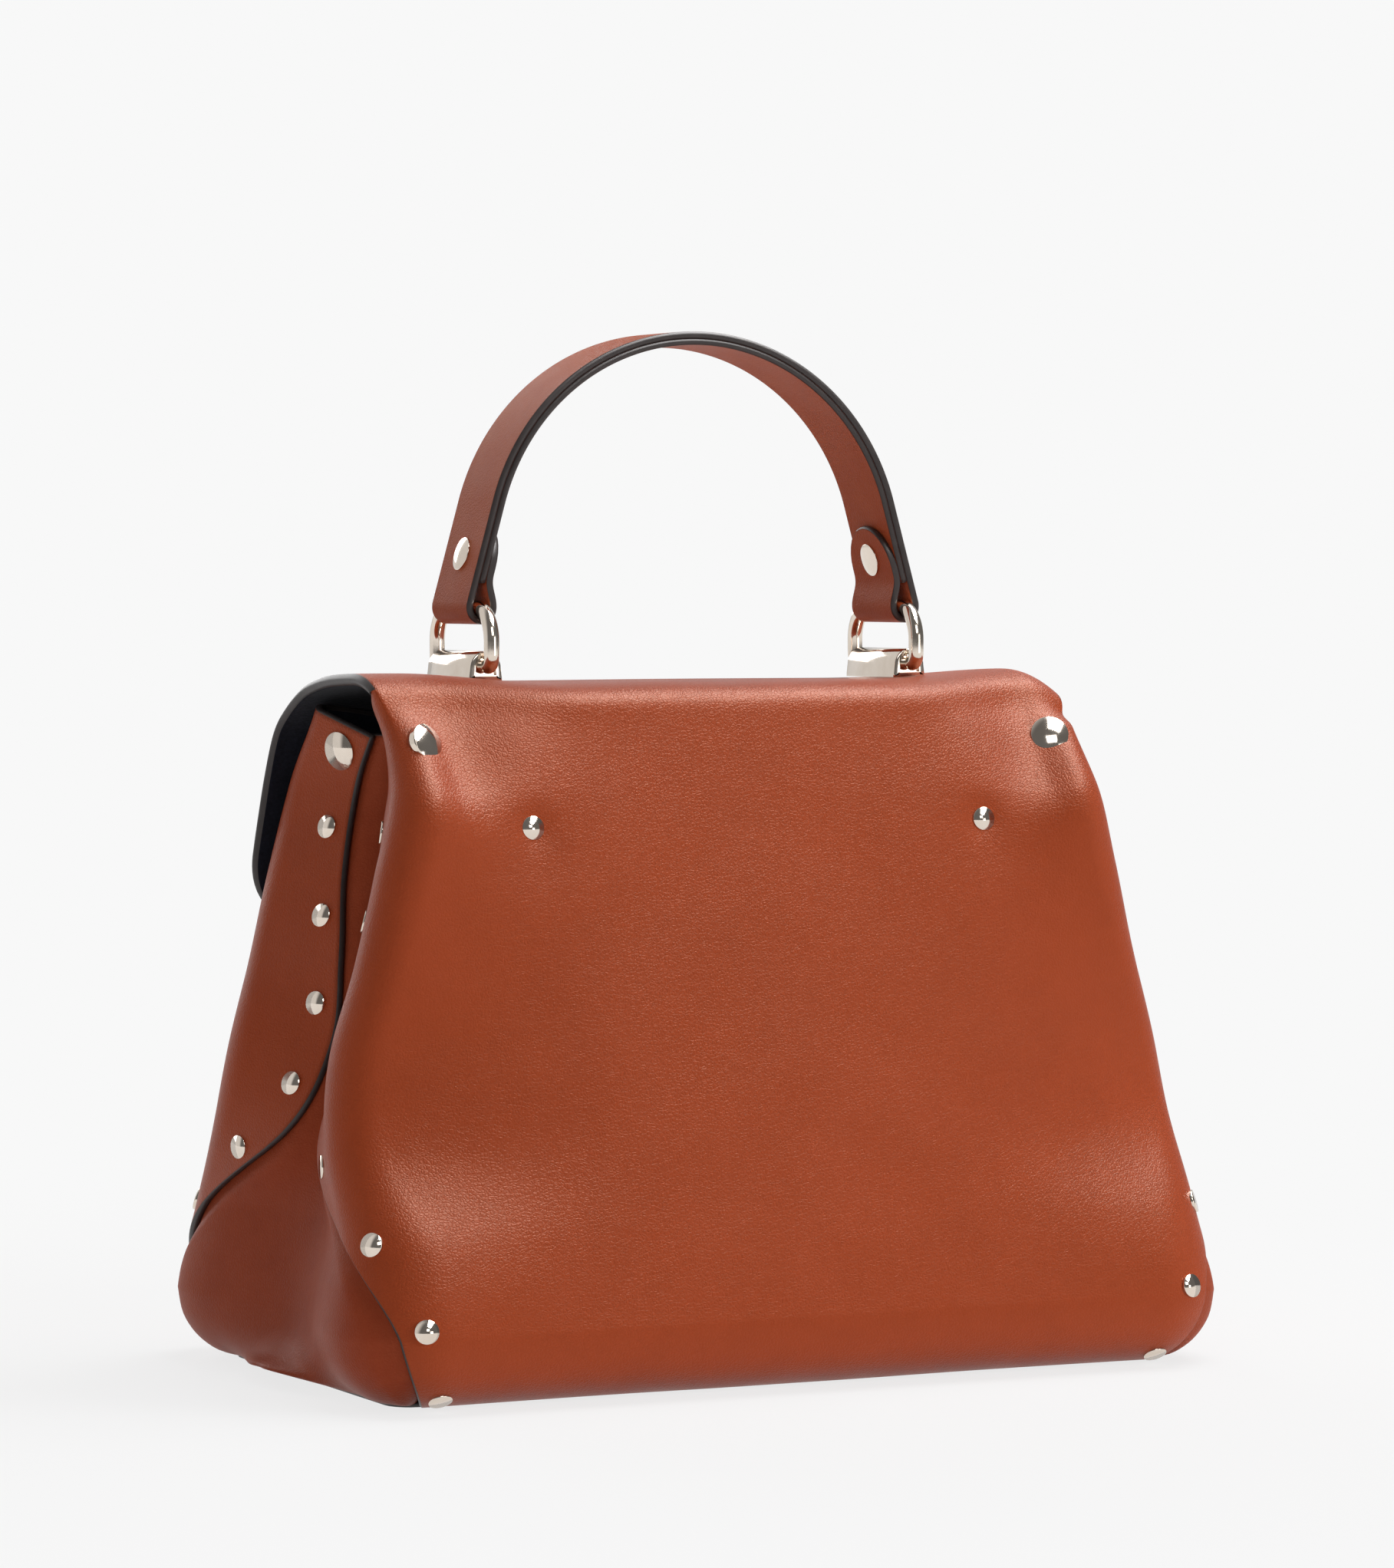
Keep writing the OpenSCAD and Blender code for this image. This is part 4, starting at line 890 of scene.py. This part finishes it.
# ---------------------------------------------------------------- ring mounts
# Cast and plated blocks, rounded on top like a loaf, screwed through the flap.
# An arch is sunk in each end, where the ring's pin goes in.
MOUNT_X, MOUNT_Y, MOUNT_Z, MOUNT_H, MOUNT_L, MOUNT_W = 67.2, -11, 194.65, 8.5, 30.5, 9.5
MOUNT_FLANGE, FLANGE_H, ARCH_IN, ARCH_DEEP = 0.35, 0.9, 1.7, 1.0
# how far in from the block's end, and how much smaller, each loop of its rounded rim is
MOUNT_RIM = [(ARCH_DEEP, ARCH_IN), (0, ARCH_IN), (0, 0.45), (0.15, 0.15), (0.45, 0)]


def loaf(shrink):
    """Section of the mount block, closed, seen along the bag's depth."""
    r = MOUNT_W / 2 - shrink
    top = MOUNT_H - MOUNT_W / 2
    a = np.linspace(0, np.pi, 25)
    arch = np.stack([r * np.cos(a), top + r * np.sin(a)], -1)
    out = r + MOUNT_FLANGE
    foot = np.array([[-out, FLANGE_H], [-out, shrink], [out, shrink], [out, FLANGE_H]])
    return np.concatenate([arch, foot])


def loft(name, loops, material, body, nodes):
    """A solid through closed loops of points, with its two ends closed."""
    n = len(loops[0])
    points = np.concatenate(loops)
    faces = [[i * n + j, i * n + (j + 1) % n, (i + 1) * n + (j + 1) % n, (i + 1) * n + j]
             for i in range(len(loops) - 1) for j in range(n)]
    faces += [list(range(n))[::-1], [(len(loops) - 1) * n + j for j in range(n)]]
    made = link_mesh(name, points, faces, [material])
    shape = bmesh.new()
    shape.from_mesh(made.data)
    bmesh.ops.recalc_face_normals(shape, faces=shape.faces)
    shape.to_mesh(made.data)
    shape.free()
    made.data.set_sharp_from_angle(angle=math.radians(38))
    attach(made, body)
    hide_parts(*nodes)


for side, name in ((1, "right"), (-1, "left")):
    loops = []
    for y, shrink in ([(deep - MOUNT_L / 2, shrink) for deep, shrink in MOUNT_RIM]
                      + [(MOUNT_L / 2 - deep, shrink) for deep, shrink in MOUNT_RIM[::-1]]):
        section_xz = loaf(shrink)
        loops.append(np.stack([side * (MOUNT_X + section_xz[:, 0]),
                               np.full(len(section_xz), MOUNT_Y + y),
                               MOUNT_Z + section_xz[:, 1]], -1))
    loft("handle_mount_block_" + name, loops, nickel, "flap", ["handle_mount_" + name])

# ---------------------------------------------------------------- rings
# Wire bent to an arch, its ends turned in and sprung into the mount's bores.
def sweep(path, radius):
    """Loops of a round wire along a path."""
    path = np.asarray(path, float)
    run = np.gradient(path, axis=0)
    run /= np.linalg.norm(run, axis=1, keepdims=True)
    up = np.array([1.0, 0, 0])
    other = np.cross(run, up)
    a = np.linspace(0, 2 * np.pi, 20, endpoint=False)
    loops = []
    for p, o, r in zip(path, other, np.broadcast_to(radius, len(path))):
        loops.append(p + r * (np.cos(a)[:, None] * up + np.sin(a)[:, None] * o))
    return loops


WIRE, PIN_R, PIVOT_Z, BAR_UP, LEG_Y, BAR_BEND, PIN_BEND = 2.2, 1.7, 198.9, 16.3, 19.3, 9.5, 2.6
half_path = [(0, BAR_UP)]
half_path += [(LEG_Y - BAR_BEND + BAR_BEND * math.sin(a),
               BAR_UP - BAR_BEND + BAR_BEND * math.cos(a))
              for a in np.linspace(0, math.pi / 2, 14)]
half_path += [(LEG_Y, 3.4)]
half_path += [(LEG_Y - PIN_BEND + PIN_BEND * math.cos(a), PIN_BEND - PIN_BEND * math.sin(a))
              for a in np.linspace(0.2, math.pi / 2, 8)]
half_path += [(LEG_Y - 3.2, 0), (15.8, 0), (12.2, 0)]
radii = [WIRE] * (len(half_path) - 3) + [1.95, PIN_R, PIN_R]
for side, name in ((1, "right"), (-1, "left")):
    whole = [(-y, z) for y, z in half_path[:0:-1]] + half_path
    path = [(side * MOUNT_X, MOUNT_Y + y, PIVOT_Z + z) for y, z in whole]
    loft("ring_wire_" + name, sweep(path, radii[:0:-1] + radii), nickel, "ring_" + name,
         ["ring_" + name])

# ---------------------------------------------------------------- handle
# Two straps of calf glued back to back with painted edges. The outer one loops
# round each ring's bar and comes back up inside, under a riveted round tab.
calf_handle = calf("calf_leather_handle", "#A04A2C", "#AA5331", "#B15A37", 0.46, 0.06)
STRAP_W, STRAP_T, FACING_T, ARCH_R = 24.5, 2.0, 1.8, 66.0
LOOP_R, BAR_X, BAR_Z, ARCH_TOP = 2.7, 67.2, 215.2, 294.0
LOOP_OUT = LOOP_R + STRAP_T
arch_z = ARCH_TOP - ARCH_R
reach = math.hypot(BAR_X, BAR_Z - arch_z)
lean = math.acos((ARCH_R - LOOP_OUT) / reach) + math.atan2(BAR_Z - arch_z, BAR_X)


def from_bar(x, y):
    """A place given from the right ring's bar: outwards from the strap, up along it."""
    return (BAR_X + x * math.cos(lean) - y * math.sin(lean),
            BAR_Z + x * math.sin(lean) + y * math.cos(lean))


def even(points, step):
    """The same line with evenly spaced points."""
    points = np.asarray(points, float)
    far = np.concatenate([[0], np.cumsum(np.linalg.norm(np.diff(points, axis=0), axis=1))])
    at = np.linspace(0, far[-1], int(far[-1] / step) + 1)
    return np.stack([np.interp(at, far, points[:, k]) for k in range(points.shape[1])], -1)


def softened(points, times):
    """The same line with its corners rubbed down."""
    for _ in range(times):
        points[1:-1] = (points[:-2] + 2 * points[1:-1] + points[2:]) / 4
    return points


mid_loop = LOOP_R + STRAP_T / 2
tab = [from_bar(-0.2, y) for y in np.linspace(24, 9, 16)]
tab += [from_bar(-0.2 - (mid_loop - 0.2) * ease(np.array((9 - y) / 9)), y)
        for y in np.linspace(8, 1, 8)]
loop = [from_bar(mid_loop * math.cos(a), mid_loop * math.sin(a))
        for a in np.linspace(math.pi, 2 * math.pi, 24)]
arch = [((ARCH_R - 1) * math.cos(a), arch_z + (ARCH_R - 1) * math.sin(a))
        for a in np.linspace(lean, math.pi / 2, 70)]
half = np.concatenate([softened(even(tab + loop, 0.5), 6),
                       even([from_bar(mid_loop, 0.6), arch[0]], 1.0), arch[1:]])
line = np.concatenate([half, half[-2::-1] * np.array([-1, 1])])


def ribbon(name, line, thick, tab_round, material):
    """A strap of leather along a line, with painted edges and, if asked, round ends."""
    line = np.asarray(line)
    far = np.concatenate([[0], np.cumsum(np.linalg.norm(np.diff(line, axis=0), axis=1))])
    across = STRAP_W / 2 * np.sin(np.linspace(-1, 1, 17) * np.pi / 2)
    outer, inner = [], []
    for y in across:
        cut = STRAP_W / 2 - math.sqrt(max((STRAP_W / 2) ** 2 - y * y, 0)) if tab_round else 0
        at = cut + (far / far[-1]) * (far[-1] - 2 * cut)
        blend = np.clip(np.minimum(far, far[-1] - far) / 24, 0, 1)
        at = mix(at, far, ease(blend))
        x, z = np.interp(at, far, line[:, 0]), np.interp(at, far, line[:, 1])
        run = np.stack([np.gradient(x), np.gradient(z)], -1)
        run /= np.linalg.norm(run, axis=1, keepdims=True)
        push = np.stack([run[:, 1], -run[:, 0]], -1) * thick / 2
        y = np.full(len(x), MOUNT_Y + y)
        outer.append(np.stack([x + push[:, 0], y, z + push[:, 1]], -1))
        inner.append(np.stack([x - push[:, 0], y, z - push[:, 1]], -1))
    outer, inner = np.stack(outer), np.stack(inner)
    return shell(name, outer, inner, quads(*outer.shape[:2]), [material, material, edge_paint],
                 bulge=0.25)


strap = ribbon("handle_strap_leather", line, STRAP_T, True, calf_handle)
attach(strap, "handle")
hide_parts("handle_strap")
facing_out = LOOP_R - 0.05 - FACING_T / 2       # its middle line, out from the bar's
low = from_bar(facing_out, LOOP_OUT + 2.5)
facing_r = ARCH_R - LOOP_OUT + LOOP_R - 0.05 - FACING_T / 2
arch = [(facing_r * math.cos(a), arch_z + facing_r * math.sin(a))
        for a in np.linspace(lean, math.pi - lean, 120)]
line = np.concatenate([even([low, arch[0]], 1.0), arch[1:-1],
                       even([(-arch[0][0], arch[0][1]), (-low[0], low[1])], 1.0)])
facing = ribbon("handle_facing_leather", line, FACING_T, False, calf_handle)
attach(facing, "handle")
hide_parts("handle_facing")

for side, name in ((1, "right"), (-1, "left")):
    pair = []
    for x, way in ((LOOP_OUT, 1), (LOOP_R - 0.1 - FACING_T - STRAP_T, -1)):
        px, pz = from_bar(x, 14.5)
        pair.append(((side * px, MOUNT_Y, pz),
                     (side * way * math.cos(lean), 0, way * math.sin(lean))))
    rivets("handle_rivet_caps_" + name, pair, *HANDLE_CAP, "handle", ["handle_rivet_" + name],
           0.6)

# ---------------------------------------------------------------- hidden fittings
# Stamped backing plates, machine screws and the two thin discs of the snap,
# all nickel plated like the rest, and kept as the CAD made them.
for name in ("mount_plate_left", "mount_plate_right", "mount_screws_left", "mount_screws_right",
             "snap_lower", "snap_upper"):
    thing = frame["nodes"][name]
    for slot in thing.material_slots:
        slot.material = nickel

# the reflector cards light metal only, as small cards held close would
shiny = bpy.data.collections.new("nickel_plated")
for thing in bpy.data.objects:
    if thing.type == "MESH" and nickel.name in thing.data.materials:
        shiny.objects.link(thing)
for card in cards:
    card.light_linking.receiver_collection = shiny
